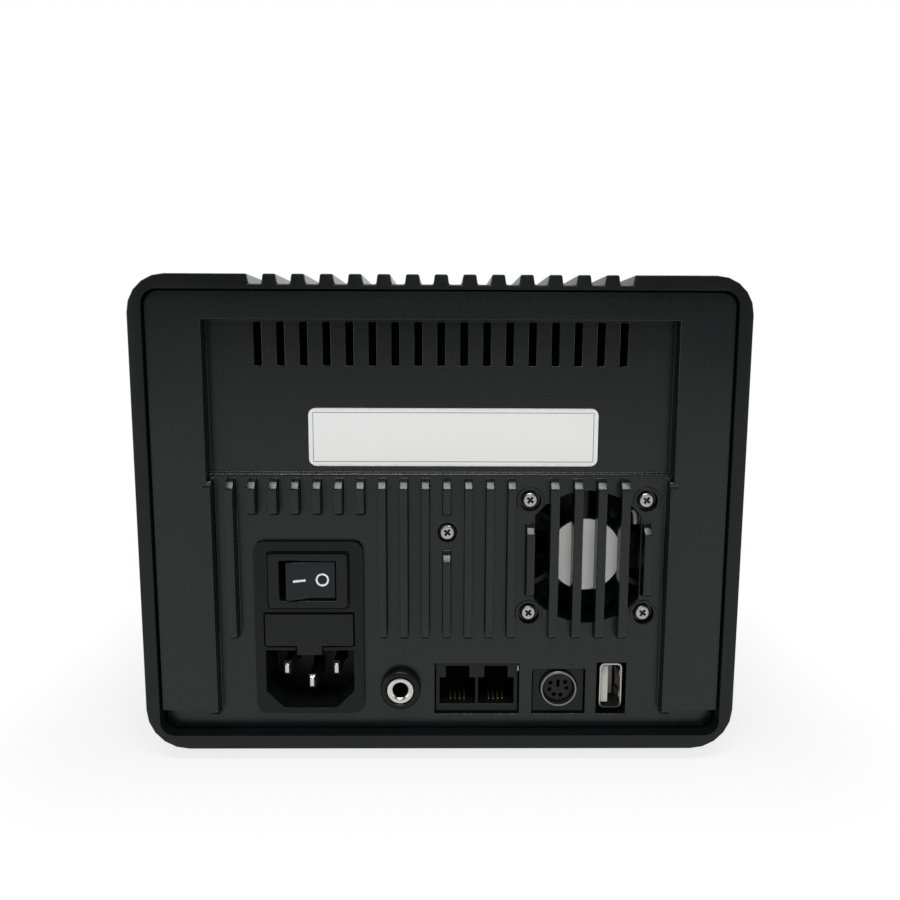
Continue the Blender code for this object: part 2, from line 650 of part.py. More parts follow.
def main_housing():
    """The one-piece sleeve: rims, stop lips for both panels, thin walls and an open floor."""
    bm = bmesh.new()
    prism(bm, sleeve_outline(), 0, SLEEVE_DEPTH)
    sleeve = piece("main_housing", bm, "moulded_black")
    mouth = rounded((-MOUTH_HALF, FLOOR_WALL), (MOUTH_HALF, MOUTH_TOP), INNER_CORNER)
    for label, low, high in (
        ("rear_mouth", -OVER, BEHIND_PANEL),
        ("front_mouth", FRONT_LIP, SLEEVE_DEPTH + OVER),
    ):
        bm = bmesh.new()
        prism(bm, mouth, low, high)
        cut(sleeve, bm, label)
    room = HALF_WIDTH - SIDE_WALL
    bm = bmesh.new()
    hollow = rounded((-room, FLOOR_WALL), (room, MOUTH_TOP), INNER_CORNER + LIP_WIDTH)
    prism(bm, hollow, BEHIND_PANEL + LIP_DEPTH, FRONT_LIP - LIP_DEPTH)
    cut(sleeve, bm, "hollow")
    bm = bmesh.new()
    lip = MOUTH_HALF - LIP_WIDTH
    low = (-lip, FLOOR_WALL + LIP_WIDTH)
    prism(bm, rounded(low, (lip, MOUTH_TOP - LIP_WIDTH), INNER_CORNER), 0, SLEEVE_DEPTH)
    cut(sleeve, bm, "lips")
    bm = bmesh.new()
    seat = (PLATE_HALF + GAP, PLATE_INSET - GAP)
    outline = rounded((-seat[0], seat[1]), (seat[0], SLEEVE_DEPTH - seat[1]), PLATE_CORNER)
    prism(bm, outline, -OVER, ON_PLATE, "XY")
    cut(sleeve, bm, "plate_seat")
    bm = bmesh.new()
    hole = (PLATE_HALF - PLATE_LEDGE, PLATE_INSET + PLATE_END_LEDGE)
    outline = rounded((-hole[0], hole[1]), (hole[0], SLEEVE_DEPTH - hole[1]), PLATE_CORNER)
    prism(bm, outline, 0, FLOOR_WALL + OVER, "XY")
    cut(sleeve, bm, "floor_opening")
    bm = bmesh.new()
    for x, y in base_screw_places():
        rod(bm, (x, y, 0), SCREW_RADIUS + GAP, 0, FLOOR_WALL + OVER, "Z", 8)
    cut(sleeve, bm, "screw_holes")


def base_plate():
    """A steel plate that closes the floor and carries the inner works and the feet."""
    bm = bmesh.new()
    outline = rounded((-PLATE_HALF, PLATE_INSET), (PLATE_HALF, SLEEVE_DEPTH - PLATE_INSET), PLATE_CORNER)
    prism(bm, outline, PLATE_LOW, PLATE_TOP, "XY")
    plate = piece("base_plate", bm, "zinc_steel")
    bm = bmesh.new()
    for x, y in base_screw_places():
        rod(bm, (x, y, 0), SCREW_RADIUS + GAP, -OVER, PLATE_TOP + OVER, "Z", 8)
    for x, y in foot_places():
        rod(bm, (x, y, 0), FOOT_STEM + GAP, -OVER, PLATE_TOP + OVER, "Z", 8)
    for i in range(PLATE_SLOTS):
        x = (i - (PLATE_SLOTS - 1) / 2) * PLATE_SLOT_PITCH
        for y in (PLATE_SLOT_ROW, SLEEVE_DEPTH - PLATE_SLOT_ROW):
            low = (x - PLATE_SLOT[0] / 2, y - PLATE_SLOT[1] / 2, -OVER)
            block(bm, low, (x + PLATE_SLOT[0] / 2, low[1] + PLATE_SLOT[1], PLATE_TOP + OVER))
    for y in strap_screw_places():
        rod(bm, (CORE_X, y, 0), SCREW_RADIUS + GAP, -OVER, PLATE_TOP + OVER, "Z", 8)
    cut(plate, bm, "holes")
    bm = bmesh.new()
    for x, y, top in post_places():
        prism(bm, circle(x, y, POST_RADIUS, 6), PLATE_LOW + GAP, top - GAP, "XY")
    join(plate, bm, "posts")


def rubber_feet():
    """Four turned rubber feet, each with a stem pushed through the base plate."""
    edge = FOOT_SOLE[0] + FOOT_SOLE[1]
    profile = [(0, -FOOT_HEIGHT), (FOOT_SOLE[0], -FOOT_HEIGHT), (edge, FOOT_SOLE[1] - FOOT_HEIGHT)]
    profile += [(FOOT_RADIUS, 0), (FOOT_STEM, 0), (FOOT_STEM, ON_PLATE), (0, ON_PLATE)]
    for number, (x, y) in enumerate(foot_places(), 1):
        bm = bmesh.new()
        turned(bm, profile, (x, y, 0), "Z", 16)
        piece(f"foot_{number}", bm, "rubber")


def base_screws():
    """The screws that hold the base plate up to the sleeve."""
    for number, (x, y) in enumerate(base_screw_places(), 1):
        bm = bmesh.new()
        pan_screw(bm, (x, y, 0), SCREW_HEAD_RADIUS, SCREW_HEAD_HEIGHT, SCREW_RADIUS, SCREW_LENGTH, "Z")
        piece(f"base_screw_{number}", bm, "zinc_steel")


# Rear panel


def fan_screw_places():
    """The four corner holes of the fan."""
    return [(FAN_X + x, FAN_Z + z) for x in side_pair(FAN_HOLE) for z in side_pair(FAN_HOLE)]


def fin(bm, x, top, bottom, thickness):
    """One upright fin: sloped tip, flat face and rounded lower end, its root sunk into the panel."""
    root = FIELD_FACE + BITE
    end = arc(FIN_FACE + FIN_END_RADIUS, bottom + FIN_END_RADIUS, FIN_END_RADIUS, 180, 270, 3)
    profile = [(root, bottom), (root, top), (FIN_FACE, top - FIN_DROP)] + end
    prism(bm, profile, x - thickness / 2, x + thickness / 2, "YZ")


def fin_runs(index, x):
    """The upper and lower ends of each stretch of a fin of the main row."""
    if index == 0:
        return [(FIN_TOP, FIN_LONG_LOW)]
    if abs(x - INLET_X) < INLET_FLANGE[0] / 2 + FIN_THICKNESS:
        return [(FIN_TOP, FIN_SHORT_LOW)]
    if abs(x - PANEL_SCREW_X) < FIN_PITCH / 2:
        gap = PANEL_SCREW_FREE
        return [(FIN_TOP, PANEL_SCREW_Z + gap), (PANEL_SCREW_Z - gap, FIN_LOW)]
    return [(FIN_TOP, FIN_LOW)]


def panel_fins():
    """All the fins and the fan's screw bosses, as one mesh of separate shapes."""
    bm = bmesh.new()
    for index in range(FIN_COUNT):
        x = index * FIN_PITCH - STRIP_INNER
        for top, bottom in fin_runs(index, x):
            fin(bm, x, top, bottom, FIN_THICKNESS)
    for i in range(4):
        fin(bm, FAN_X + (i - 1.5) * FAN_FIN_PITCH, FIN_TOP, FIN_LOW, FAN_FIN_THICKNESS)
    for x in side_pair(FAN_HOLE):
        fin(bm, FAN_X + x, FAN_SIDE_FIN[1], FAN_SIDE_FIN[0], FIN_THICKNESS)
    fin(bm, FAN_X + FAN_EDGE_FIN, FIN_TOP, FIN_LONG_LOW, FIN_THICKNESS)
    for x, z in fan_screw_places():
        rod(bm, (x, 0, z), FAN_BOSS, FIELD_FACE - GAP, PANEL_BACK - GAP, steps=14)
    return bm


def rear_panel():
    """The rear panel: raised side strips, a sunk bay with air slots, and the finned field of sockets."""
    half = MOUTH_HALF - GAP
    bm = bmesh.new()
    outline = rounded((-half, FLOOR_WALL + GAP), (half, MOUTH_TOP - GAP), INNER_CORNER - GAP)
    prism(bm, outline, STRIP_FACE, PANEL_BACK)
    panel = piece("rear_panel", bm, "panel_black")
    front = STRIP_FACE - OVER
    bay = [(front, BAY_TOP), (BAY_DEPTH, BAY_TOP), (BAY_DEPTH, LEDGE + LEDGE_STEP), (FIELD_FACE, LEDGE)]
    bay += [(FIELD_FACE, -OVER), (front, -OVER)]
    bm = bmesh.new()
    prism(bm, bay, -STRIP_INNER, STRIP_INNER, "YZ")
    cut(panel, bm, "bay_and_field")
    bm = bmesh.new()
    for side in side_pair(1):
        inner, outer = sorted((side * (STRIP_INNER - OVER), side * HALF_WIDTH))
        block(bm, (inner, front, -OVER), (outer, FIELD_FACE, STRIP_END))
    cut(panel, bm, "strip_ends")
    bm = bmesh.new()
    for side in side_pair(1):
        inner, outer = sorted((side * (STRIP_INNER + STRIP_WALL), side * (half - STRIP_WALL)))
        near = (inner, STRIP_FACE + STRIP_WALL, STRIP_END + STRIP_WALL)
        block(bm, near, (outer, PANEL_BACK + OVER, BAY_TOP))
    cut(panel, bm, "strip_hollows")
    bm = bmesh.new()
    arcs = math.degrees(math.acos(FAN_WINDOW / FAN_BORE))
    window = arc(FAN_X, FAN_Z, FAN_BORE, arcs, 180 - arcs, 8)
    window += arc(FAN_X, FAN_Z, FAN_BORE, 180 + arcs, 360 - arcs, 8)
    prism(bm, window, FIELD_FACE - OVER, PANEL_BACK + OVER)
    cut(panel, bm, "fan_window")
    join(panel, panel_fins(), "fins")
    bm = bmesh.new()
    for i in range(SLOT_COUNT):
        x = (i - (SLOT_COUNT - 1) / 2) * SLOT_PITCH
        block(bm, (x - SLOT_WIDTH / 2, 0, SLOT_LOW), (x + SLOT_WIDTH / 2, PANEL_BACK + OVER, SLOT_HIGH))
    cut(panel, bm, "air_slots")
    bm = bmesh.new()
    for x, z in fan_screw_places():
        steps = [(0, 0), (FAN_SINK[0], 0), (FAN_SINK[0], FIELD_FACE + FAN_SINK[1])]
        hole = SCREW_RADIUS + GAP
        steps += [(hole, FIELD_FACE + FAN_SINK[1]), (hole, PANEL_BACK + OVER), (0, PANEL_BACK + OVER)]
        turned(bm, steps, (x, 0, z), steps=14)
    sink = FIELD_FACE + PANEL_SCREW_SINK[1]
    hole = SCREW_RADIUS + GAP
    steps = [(0, 0), (PANEL_SCREW_SINK[0], 0), (PANEL_SCREW_SINK[0], sink), (hole, sink)]
    steps += [(hole, PANEL_BACK + OVER), (0, PANEL_BACK + OVER)]
    turned(bm, steps, (PANEL_SCREW_X, 0, PANEL_SCREW_Z), steps=16)
    rod(bm, (EARTH_X, 0, EARTH_Z), EARTH_SHANK + GAP, FIELD_FACE - OVER, PANEL_BACK + OVER)
    for x, z, width, height in (
        (INLET_X, INLET_Z, INLET_BODY[0], INLET_BODY[1]),
        (TWIN_X, ON_BOARD + TWIN_SIZE[1] / 2, TWIN_SIZE[0], TWIN_SIZE[1]),
        (DIN_X, ON_BOARD + DIN_SIZE[1] / 2, DIN_SIZE[0], DIN_SIZE[1]),
        (USB_WINDOW_X, ON_BOARD + USB_WINDOW[1] / 2 - GAP, USB_WINDOW[0] - 2 * GAP, USB_WINDOW[1] - 2 * GAP),
    ):
        block_at(bm, x, z, width + 2 * GAP, height + 2 * GAP, FIELD_FACE - OVER, PANEL_BACK + OVER)
    cut(panel, bm, "screws_and_sockets")


def fan_screws():
    """Four pan head screws through the panel into the fan."""
    seat = FIELD_FACE + FAN_SINK[1] - GAP
    for number, (x, z) in enumerate(fan_screw_places(), 1):
        bm = bmesh.new()
        pan_screw(bm, (x, seat, z), FAN_SCREW_HEAD[0], FAN_SCREW_HEAD[1], SCREW_RADIUS, FAN_DEPTH)
        piece(f"fan_screw_{number}", bm, "zinc_steel")


def panel_screw():
    """The single screw that ties the panel to the brace behind it."""
    bm = bmesh.new()
    seat = FIELD_FACE + PANEL_SCREW_SINK[1] - GAP
    centre = (PANEL_SCREW_X, seat, PANEL_SCREW_Z)
    pan_screw(bm, centre, FAN_SCREW_HEAD[0], FAN_SCREW_HEAD[1], SCREW_RADIUS, SCREW_LENGTH)
    piece("panel_screw", bm, "zinc_steel")


def rear_brace():
    """A bent steel strip from the base plate up and over to the back of the rear panel."""
    t = BRACE_SHEET
    low = ON_PLATE
    top = PANEL_SCREW_Z - BRACE_FLANGE
    near = BEHIND_PANEL
    far = BRACE_BACK
    profile = [(near, top), (near, PANEL_SCREW_Z + BRACE_FLANGE), (near + t, PANEL_SCREW_Z + BRACE_FLANGE)]
    profile += [(near + t, top + t), (far + t, top + t), (far + t, low + t), (far + BRACE_FOOT, low + t)]
    profile += [(far + BRACE_FOOT, low), (far, low), (far, top)]
    bm = bmesh.new()
    prism(bm, profile, BRACE_X - BRACE_WIDTH / 2, BRACE_X + BRACE_WIDTH / 2, "YZ")
    brace = piece("rear_brace", bm, "zinc_steel")
    bm = bmesh.new()
    rod(bm, (BRACE_X, 0, PANEL_SCREW_Z), SCREW_RADIUS + GAP, near - OVER, near + t + OVER, steps=8)
    cut(brace, bm, "screw_hole")


# Cooling fan


def fan_frame():
    """The fan's square frame with its bore, corner holes, and a static hub on struts at the rear side."""
    low = BEHIND_PANEL
    bm = bmesh.new()
    prism(bm, rounded_at(FAN_X, FAN_Z, FAN_SIZE, FAN_SIZE, FAN_CORNER), low, low + FAN_DEPTH)
    frame = piece("fan_frame", bm, "fitting_black")
    bm = bmesh.new()
    rod(bm, (FAN_X, 0, FAN_Z), FAN_BORE, low - OVER, low + FAN_DEPTH + OVER, steps=32)
    for x, z in fan_screw_places():
        rod(bm, (x, 0, z), SCREW_RADIUS + GAP, low - OVER, low + FAN_DEPTH + OVER, steps=8)
    cut(frame, bm, "bore_and_holes")
    bm = bmesh.new()
    rod(bm, (FAN_X, 0, FAN_Z), FAN_HUB, low, low + FAN_STRUT, steps=24)
    join(frame, bm, "static_hub")
    bm = bmesh.new()
    reach = (FAN_HUB - BITE, FAN_BORE + BITE)
    half = FAN_STRUT_WIDTH / 2
    for i in range(FAN_STRUTS):
        turn = math.radians(90 + 360 * i / FAN_STRUTS)
        strut = [(reach[0], -half), (reach[1], -half), (reach[1], half), (reach[0], half)]
        turned_strut = [
            (FAN_X + a * math.cos(turn) - b * math.sin(turn), FAN_Z + a * math.sin(turn) + b * math.cos(turn))
            for a, b in strut
        ]
        prism(bm, turned_strut, low + FAN_STRUT * 0.1, low + FAN_STRUT * 0.9)
    join(frame, bm, "struts")


def fan_rotor():
    """The fan's cup hub and twisted blades, with its origin on the shaft's axis."""
    front = BEHIND_PANEL + FAN_STRUT + GAP
    back = BEHIND_PANEL + FAN_DEPTH - GAP
    middle = (front + back) / 2
    bm = bmesh.new()
    hub = FAN_ROTOR_HUB
    crown = [(0, front), (hub, front), (hub, back - FAN_STRUT / 2), (hub - FAN_STRUT / 2, back), (0, back)]
    turned(bm, crown, (FAN_X, 0, FAN_Z), steps=24)
    rotor = piece("fan_rotor", bm, "fitting_black", (FAN_X, middle, FAN_Z))
    bm = bmesh.new()
    for blade in range(FAN_BLADES):
        start = math.tau * blade / FAN_BLADES
        loops = []
        for radius, half_sweep, pitch in zip((hub - BITE, FAN_BLADE_RUN), FAN_BLADE_SWEEP, FAN_BLADE_PITCH):
            loop = []
            for sweep, along, edge in ((-1, -1, -1), (1, 1, -1), (1, 1, 1), (-1, -1, 1)):
                turn = start + sweep * half_sweep
                y = middle + along * pitch + edge * FAN_BLADE
                loop.append((FAN_X + radius * math.cos(turn), y, FAN_Z + radius * math.sin(turn)))
            loops.append(loop)
        loft(bm, loops)
    join(rotor, bm, "blades")


# Mains inlet, fuse and switch


def plug_recess_outline():
    """The inlet's socket outline: a rectangle whose two lower corners are cut off."""
    half, low = PLUG_RECESS[0] / 2, PLUG_RECESS_Z - PLUG_RECESS[1] / 2
    c = PLUG_RECESS_CHAMFER
    right = [(half - c, low), (half, low + c), (half, low + PLUG_RECESS[1])]
    points = right + [(-x, z) for x, z in reversed(right)]
    return [(INLET_X + x, z) for x, z in points]


def pin_places():
    """Line, neutral and earth blades."""
    high = PLUG_RECESS_Z + PIN_RISE
    return [(INLET_X - PIN_SPREAD, high), (INLET_X + PIN_SPREAD, high), (INLET_X, PLUG_RECESS_Z - PIN_RISE)]


def inlet_housing():
    """The inlet module: flange, plug recess, fuse bay and the hole that the switch snaps into."""
    bm = bmesh.new()
    outline = rounded_at(INLET_X, INLET_Z, INLET_FLANGE[0], INLET_FLANGE[1], INLET_FLANGE_CORNER)
    prism(bm, outline, INLET_FLANGE_FACE, FIELD_FACE - GAP)
    housing = piece("inlet_housing", bm, "fitting_black")
    bm = bmesh.new()
    block_at(bm, INLET_X, INLET_Z, INLET_BODY[0], INLET_BODY[1], FIELD_FACE - GAP - BITE, INLET_BACK)
    join(housing, bm, "body")
    bm = bmesh.new()
    floor = INLET_FLANGE_FACE + PLUG_RECESS_DEPTH
    prism(bm, plug_recess_outline(), INLET_FLANGE_FACE - OVER, floor)
    cut(housing, bm, "plug_recess")
    bm = bmesh.new()
    for x, z in pin_places():
        size = (PIN_SECTION[0] + 2 * GAP, PIN_SECTION[1] + 2 * GAP)
        block_at(bm, x, z, size[0], size[1], floor - OVER, INLET_BACK + OVER)
    cut(housing, bm, "pin_slots")
    bm = bmesh.new()
    bay = [side + 2 * GAP for side in DRAWER_FRONT]
    mouth = (INLET_FLANGE_FACE - OVER, DRAWER_FACE + DRAWER_PLATE + GAP)
    block_at(bm, INLET_X, DRAWER_Z, bay[0], bay[1], mouth[0], mouth[1])
    cut(housing, bm, "drawer_mouth")
    bm = bmesh.new()
    bay = [side + 2 * GAP for side in DRAWER_TRAY]
    block_at(bm, INLET_X, DRAWER_Z, bay[0], bay[1], INLET_FLANGE_FACE, DRAWER_BACK + GAP)
    cut(housing, bm, "drawer_bay")
    bm = bmesh.new()
    low = DRAWER_Z - DRAWER_FRONT[1] / 2 - DRAWER_TAB[1]
    notch = (DRAWER_TAB[0] + 2 * GAP, DRAWER_FRONT[1] + DRAWER_TAB[1])
    mid = low - GAP + notch[1] / 2
    block_at(bm, INLET_X, mid, notch[0], notch[1], mouth[0], mouth[1])
    cut(housing, bm, "drawer_notch")
    bm = bmesh.new()
    hole = [side + 2 * GAP for side in SWITCH_BODY]
    block_at(bm, INLET_X, SWITCH_Z, hole[0], hole[1], INLET_FLANGE_FACE - OVER, INLET_BACK + OVER)
    cut(housing, bm, "switch_hole")


def inlet_pins():
    """Three blades in the plug recess, each running back through the module to its solder tab."""
    for name, (x, z) in zip(("pin_line", "pin_neutral", "pin_earth"), pin_places()):
        bm = bmesh.new()
        w, h = PIN_SECTION[0] / 2, PIN_SECTION[1] / 2
        tip = INLET_FLANGE_FACE + PIN_SETBACK
        sections = ((tip, PIN_TIP[0] / 2, PIN_TIP[1] / 2), (tip + w, w, h), (INLET_BACK, w, h))
        sections += ((INLET_BACK + PIN_TAB, PIN_TAB / 2, h), (INLET_BACK + PIN_TAIL, PIN_TAB / 2, h))
        corners = ((-1, -1), (1, -1), (1, 1), (-1, 1))
        loft(bm, [[(x + i * a, y, z + j * b) for i, j in corners] for y, a, b in sections])
        piece(name, bm, "nickel")


def fuse_drawer():
    """The drawer that slides out of the module with the fuse: front plate, pull tab and an open tray."""
    bm = bmesh.new()
    low = DRAWER_Z - DRAWER_FRONT[1] / 2
    half, tab = DRAWER_FRONT[0] / 2, DRAWER_TAB[0] / 2
    right = [(tab, low - DRAWER_TAB[1]), (tab, low), (half, low), (half, low + DRAWER_FRONT[1])]
    outline = [(INLET_X + x, z) for x, z in right] + [(INLET_X - x, z) for x, z in reversed(right)]
    prism(bm, outline, DRAWER_FACE, DRAWER_FACE + DRAWER_PLATE)
    drawer = piece("fuse_drawer", bm, "fitting_black", (INLET_X, DRAWER_FACE, DRAWER_Z))
    bm = bmesh.new()
    root = DRAWER_FACE + DRAWER_PLATE - BITE
    block_at(bm, INLET_X, DRAWER_Z, DRAWER_TRAY[0], DRAWER_TRAY[1], root, DRAWER_BACK)
    join(drawer, bm, "tray")
    bm = bmesh.new()
    wall = DRAWER_WALL
    half, floor = DRAWER_TRAY[0] / 2 - wall, DRAWER_Z - DRAWER_TRAY[1] / 2 + wall
    near = (INLET_X - half, DRAWER_FACE + DRAWER_PLATE + wall, floor)
    block(bm, near, (INLET_X + half, DRAWER_BACK - wall, DRAWER_Z + DRAWER_TRAY[1] / 2 + OVER))
    cut(drawer, bm, "tray_hollow")


def fuse():
    """A tube fuse lying across the drawer: a glass body between two fatter end caps."""
    z = DRAWER_Z - DRAWER_TRAY[1] / 2 + DRAWER_WALL + GAP + FUSE_RADIUS
    centre = (INLET_X, FUSE_Y, z)
    end = FUSE_LENGTH / 2
    inner = end - FUSE_CAP_LENGTH
    profile = [(0, -end), (FUSE_RADIUS, -end), (FUSE_RADIUS, -inner), (FUSE_GLASS_RADIUS, -inner)]
    bm = bmesh.new()
    turned(bm, profile + [(radius, -along) for radius, along in reversed(profile)], centre, "X", 12)
    piece("fuse", bm, "nickel", centre)


def switch_frame():
    """The snap-in switch body with the well that the rocker tips in."""
    bm = bmesh.new()
    outline = rounded_at(INLET_X, SWITCH_Z, SWITCH_FRAME[0], SWITCH_FRAME[1], SWITCH_FRAME_CORNER)
    prism(bm, outline, SWITCH_FRAME_FACE, INLET_FLANGE_FACE - GAP)
    frame = piece("switch_frame", bm, "fitting_black")
    bm = bmesh.new()
    low = INLET_FLANGE_FACE - GAP - BITE / 2
    block_at(bm, INLET_X, SWITCH_Z, SWITCH_BODY[0], SWITCH_BODY[1], low, SWITCH_BACK)
    join(frame, bm, "body")
    bm = bmesh.new()
    floor = SWITCH_FRAME_FACE + SWITCH_WELL_DEPTH
    block_at(bm, INLET_X, SWITCH_Z, SWITCH_WELL[0], SWITCH_WELL[1], SWITCH_FRAME_FACE - OVER, floor)
    cut(frame, bm, "well")
    bm = bmesh.new()
    reach = SWITCH_WELL[1] / 2 - GAP + TRUNNION[1]
    rod(bm, (INLET_X, PIVOT_Y, SWITCH_Z), TRUNNION[0] + GAP, -reach, reach, "Z", 16)
    cut(frame, bm, "pivot_holes")


def switch_rocker():
    """The rocker, dished between its ends and tipped so that its right end is pressed in."""
    shoulder, keel = ROCKER_SHOULDER, ROCKER_KEEL
    side = [(ROCKER_HALF, ROCKER_END_HEIGHT), shoulder, (shoulder[0], 0), (keel[0], -keel[1])]
    profile = [(0, ROCKER_END_HEIGHT - ROCKER_DISH)] + side + [(-x, h) for x, h in reversed(side)]
    tilt = math.radians(ROCKER_TILT)
    outline = []
    for x, h in profile:
        across = x * math.cos(tilt) + h * math.sin(tilt)
        out = h * math.cos(tilt) - x * math.sin(tilt)
        outline.append((INLET_X + across, PIVOT_Y - out))
    half = SWITCH_WELL[1] / 2 - GAP
    bm = bmesh.new()
    prism(bm, outline, SWITCH_Z - half, SWITCH_Z + half, "XY")
    pivot = (INLET_X, PIVOT_Y, SWITCH_Z)
    rocker = piece("switch_rocker", bm, "fitting_black", pivot)
    bm = bmesh.new()
    for side in side_pair(1):
        low, high = sorted((side * (half - BITE), side * (half + TRUNNION[1] - GAP)))
        rod(bm, pivot, TRUNNION[0], low, high, "Z", 12)
    join(rocker, bm, "trunnions")


# Earth socket and signal jacks


def earth_socket():
    """The earth bonding socket: moulded collar, metal sleeve and the nut behind the panel."""
    centre = (EARTH_X, 0, EARTH_Z)
    seat = FIELD_FACE - GAP
    face = seat - EARTH_COLLAR[1]
    bore = EARTH_TUBE + GAP
    step = EARTH_RING[1] + GAP
    bevel = EARTH_COLLAR_BEVEL
    profile = [(EARTH_RING[0] + GAP, face), (EARTH_COLLAR[0] - bevel, face), (EARTH_COLLAR[0], face + bevel)]
    profile += [(EARTH_COLLAR[0], seat), (EARTH_SHANK, seat), (EARTH_SHANK, seat + EARTH_SHANK_LENGTH)]
    profile += [(bore, seat + EARTH_SHANK_LENGTH), (bore, face + step), (EARTH_RING[0] + GAP, face + step)]
    bm = bmesh.new()
    turned(bm, profile, centre, steps=20, ring=True)
    piece("earth_collar", bm, "fitting_black")
    bm = bmesh.new()
    profile = [(EARTH_BORE, face), (EARTH_RING[0], face), (EARTH_RING[0], face + EARTH_RING[1])]
    end = face + EARTH_LENGTH
    profile += [(EARTH_TUBE, face + EARTH_RING[1]), (EARTH_TUBE, end), (0, end)]
    profile += [(0, end - EARTH_END_WALL), (EARTH_BORE, end - EARTH_END_WALL)]
    turned(bm, profile, centre, steps=20, ring=True)
    piece("earth_sleeve", bm, "nickel")
    bm = bmesh.new()
    prism(bm, circle(EARTH_X, EARTH_Z, EARTH_NUT[0], 6), BEHIND_PANEL, BEHIND_PANEL + EARTH_NUT[1])
    nut = piece("earth_nut", bm, "nickel")
    bm = bmesh.new()
    low, high = BEHIND_PANEL - OVER, BEHIND_PANEL + EARTH_NUT[1] + OVER
    rod(bm, centre, EARTH_SHANK + GAP, low, high)
    cut(nut, bm, "bore")


def twin_ports():
    """The middles of the two phone-style openings."""
    return [TWIN_X + x for x in side_pair(TWIN_PORT_PITCH / 2)]


def twin_jack():
    """The double phone-style jack with its latch notches and the contact wires in each opening."""
    low = ON_BOARD
    bm = bmesh.new()
    mid = low + TWIN_SIZE[1] / 2
    face = FIELD_FACE + TWIN_SETBACK
    block_at(bm, TWIN_X, mid, TWIN_SIZE[0], TWIN_SIZE[1], face, FIELD_FACE + TWIN_SIZE[2])
    jack = piece("twin_jack", bm, "fitting_black")
    top = TWIN_PORT_LOW + TWIN_PORT[1]
    half, notch = TWIN_PORT[0] / 2, TWIN_NOTCH[0] / 2
    bm = bmesh.new()
    for x in twin_ports():
        right = [(half, TWIN_PORT_LOW), (half, top), (notch, top), (notch, top + TWIN_NOTCH[1])]
        outline = [(x + a, b) for a, b in right] + [(x - a, b) for a, b in reversed(right)]
        prism(bm, outline, face - OVER, FIELD_FACE + TWIN_PORT[2])
    cut(jack, bm, "ports")
    bm = bmesh.new()
    wire = TWIN_WIRE / 2
    for x in twin_ports():
        for i in range(TWIN_CONTACTS):
            at = x + (i - (TWIN_CONTACTS - 1) / 2) * TWIN_CONTACT_PITCH
            floor = TWIN_PORT_LOW - BITE
            near, far = face + TWIN_CONTACT_SETBACK, FIELD_FACE + TWIN_PORT[2] + BITE
            profile = [(near, floor), (far, floor), (far, TWIN_PORT_LOW + 4 * wire)]
            prism(bm, profile + [(near, TWIN_PORT_LOW + wire)], at - wire, at + wire, "YZ")
    join(jack, bm, "contacts")


def din_socket():
    """The round signal socket: moulded body with a slotted core, and the metal ring round it."""
    centre = (DIN_X, 0, DIN_FACE_Z)
    bm = bmesh.new()
    mid = ON_BOARD + DIN_SIZE[1] / 2
    core = FIELD_FACE + DIN_CORE_SETBACK
    block_at(bm, DIN_X, mid, DIN_SIZE[0], DIN_SIZE[1], core, FIELD_FACE + DIN_SIZE[2])
    body = piece("din_body", bm, "fitting_black")
    floor = FIELD_FACE + DIN_GROOVE_DEPTH
    wide = DIN_RING[0] + GAP
    profile = [(DIN_CORE, core - OVER), (wide, core - OVER), (wide, floor), (DIN_CORE, floor)]
    bm = bmesh.new()
    turned(bm, profile, centre, steps=20, ring=True)
    cut(body, bm, "ring_groove")
    bm = bmesh.new()
    for angle in DIN_PIN_ANGLES:
        turn = math.radians(angle)
        place = (DIN_X + DIN_PIN_CIRCLE * math.cos(turn), 0, DIN_FACE_Z + DIN_PIN_CIRCLE * math.sin(turn))
        rod(bm, place, DIN_PIN_HOLE, core - OVER, core + DIN_HOLE_DEPTH, steps=6)
    key = DIN_FACE_Z - DIN_KEY_DROP
    block_at(bm, DIN_X, key, DIN_KEY[0], DIN_KEY[1], core - OVER, core + DIN_HOLE_DEPTH)
    cut(body, bm, "pin_holes")
    bm = bmesh.new()
    tube(bm, centre, DIN_RING[0], DIN_RING[1], FIELD_FACE - GAP, floor - GAP, steps=20)
    piece("din_ring", bm, "nickel")


def usb_socket():
    """The upright flat socket: a folded sheet shell, and the moulded block and tongue inside it."""
    width, height, depth = USB_SHELL
    low = ON_BOARD + USB_LIFT
    face = FIELD_FACE - USB_PROUD
    bm = bmesh.new()
    block_at(bm, USB_X, low + height / 2, width, height, face, face + depth)
    shell = piece("usb_shell", bm, "nickel")
    bm = bmesh.new()
    inside = (width - 2 * USB_SHEET, height - 2 * USB_SHEET)
    block_at(bm, USB_X, low + height / 2, inside[0], inside[1], face - OVER, face + depth - USB_SHEET)
    cut(shell, bm, "inside")
    block_face = face + USB_BLOCK
    half = width / 2 - USB_SHEET - GAP
    back = face + depth - USB_SHEET - GAP
    bm = bmesh.new()
    near = (USB_X - half - GAP, block_face - GAP, low - OVER)
    block(bm, near, (USB_X + half + GAP, face + depth + OVER, low + OVER))
    cut(shell, bm, "leg_opening")
    bm = bmesh.new()
    block(bm, (USB_X - half, block_face, ON_BOARD), (USB_X + half, back, low + height - USB_SHEET - GAP))
    insulator = piece("usb_insulator", bm, "fitting_black")
    bm = bmesh.new()
    tongue = USB_X - half + USB_TONGUE[0] / 2
    near, middle = face + USB_TONGUE_SETBACK, low + height / 2
    block_at(bm, tongue, middle, USB_TONGUE[0], USB_TONGUE[1], near, block_face + BITE)
    join(insulator, bm, "tongue")


def interface_board():
    """The small board that carries the signal jacks."""
    bm = bmesh.new()
    block(bm, (BOARD_LOW_X, BOARD_LOW_Y, BOARD_TOP - BOARD_SHEET), (BOARD_HIGH_X, BOARD_HIGH_Y, BOARD_TOP))
    piece("interface_board", bm, "board_green")


# Front


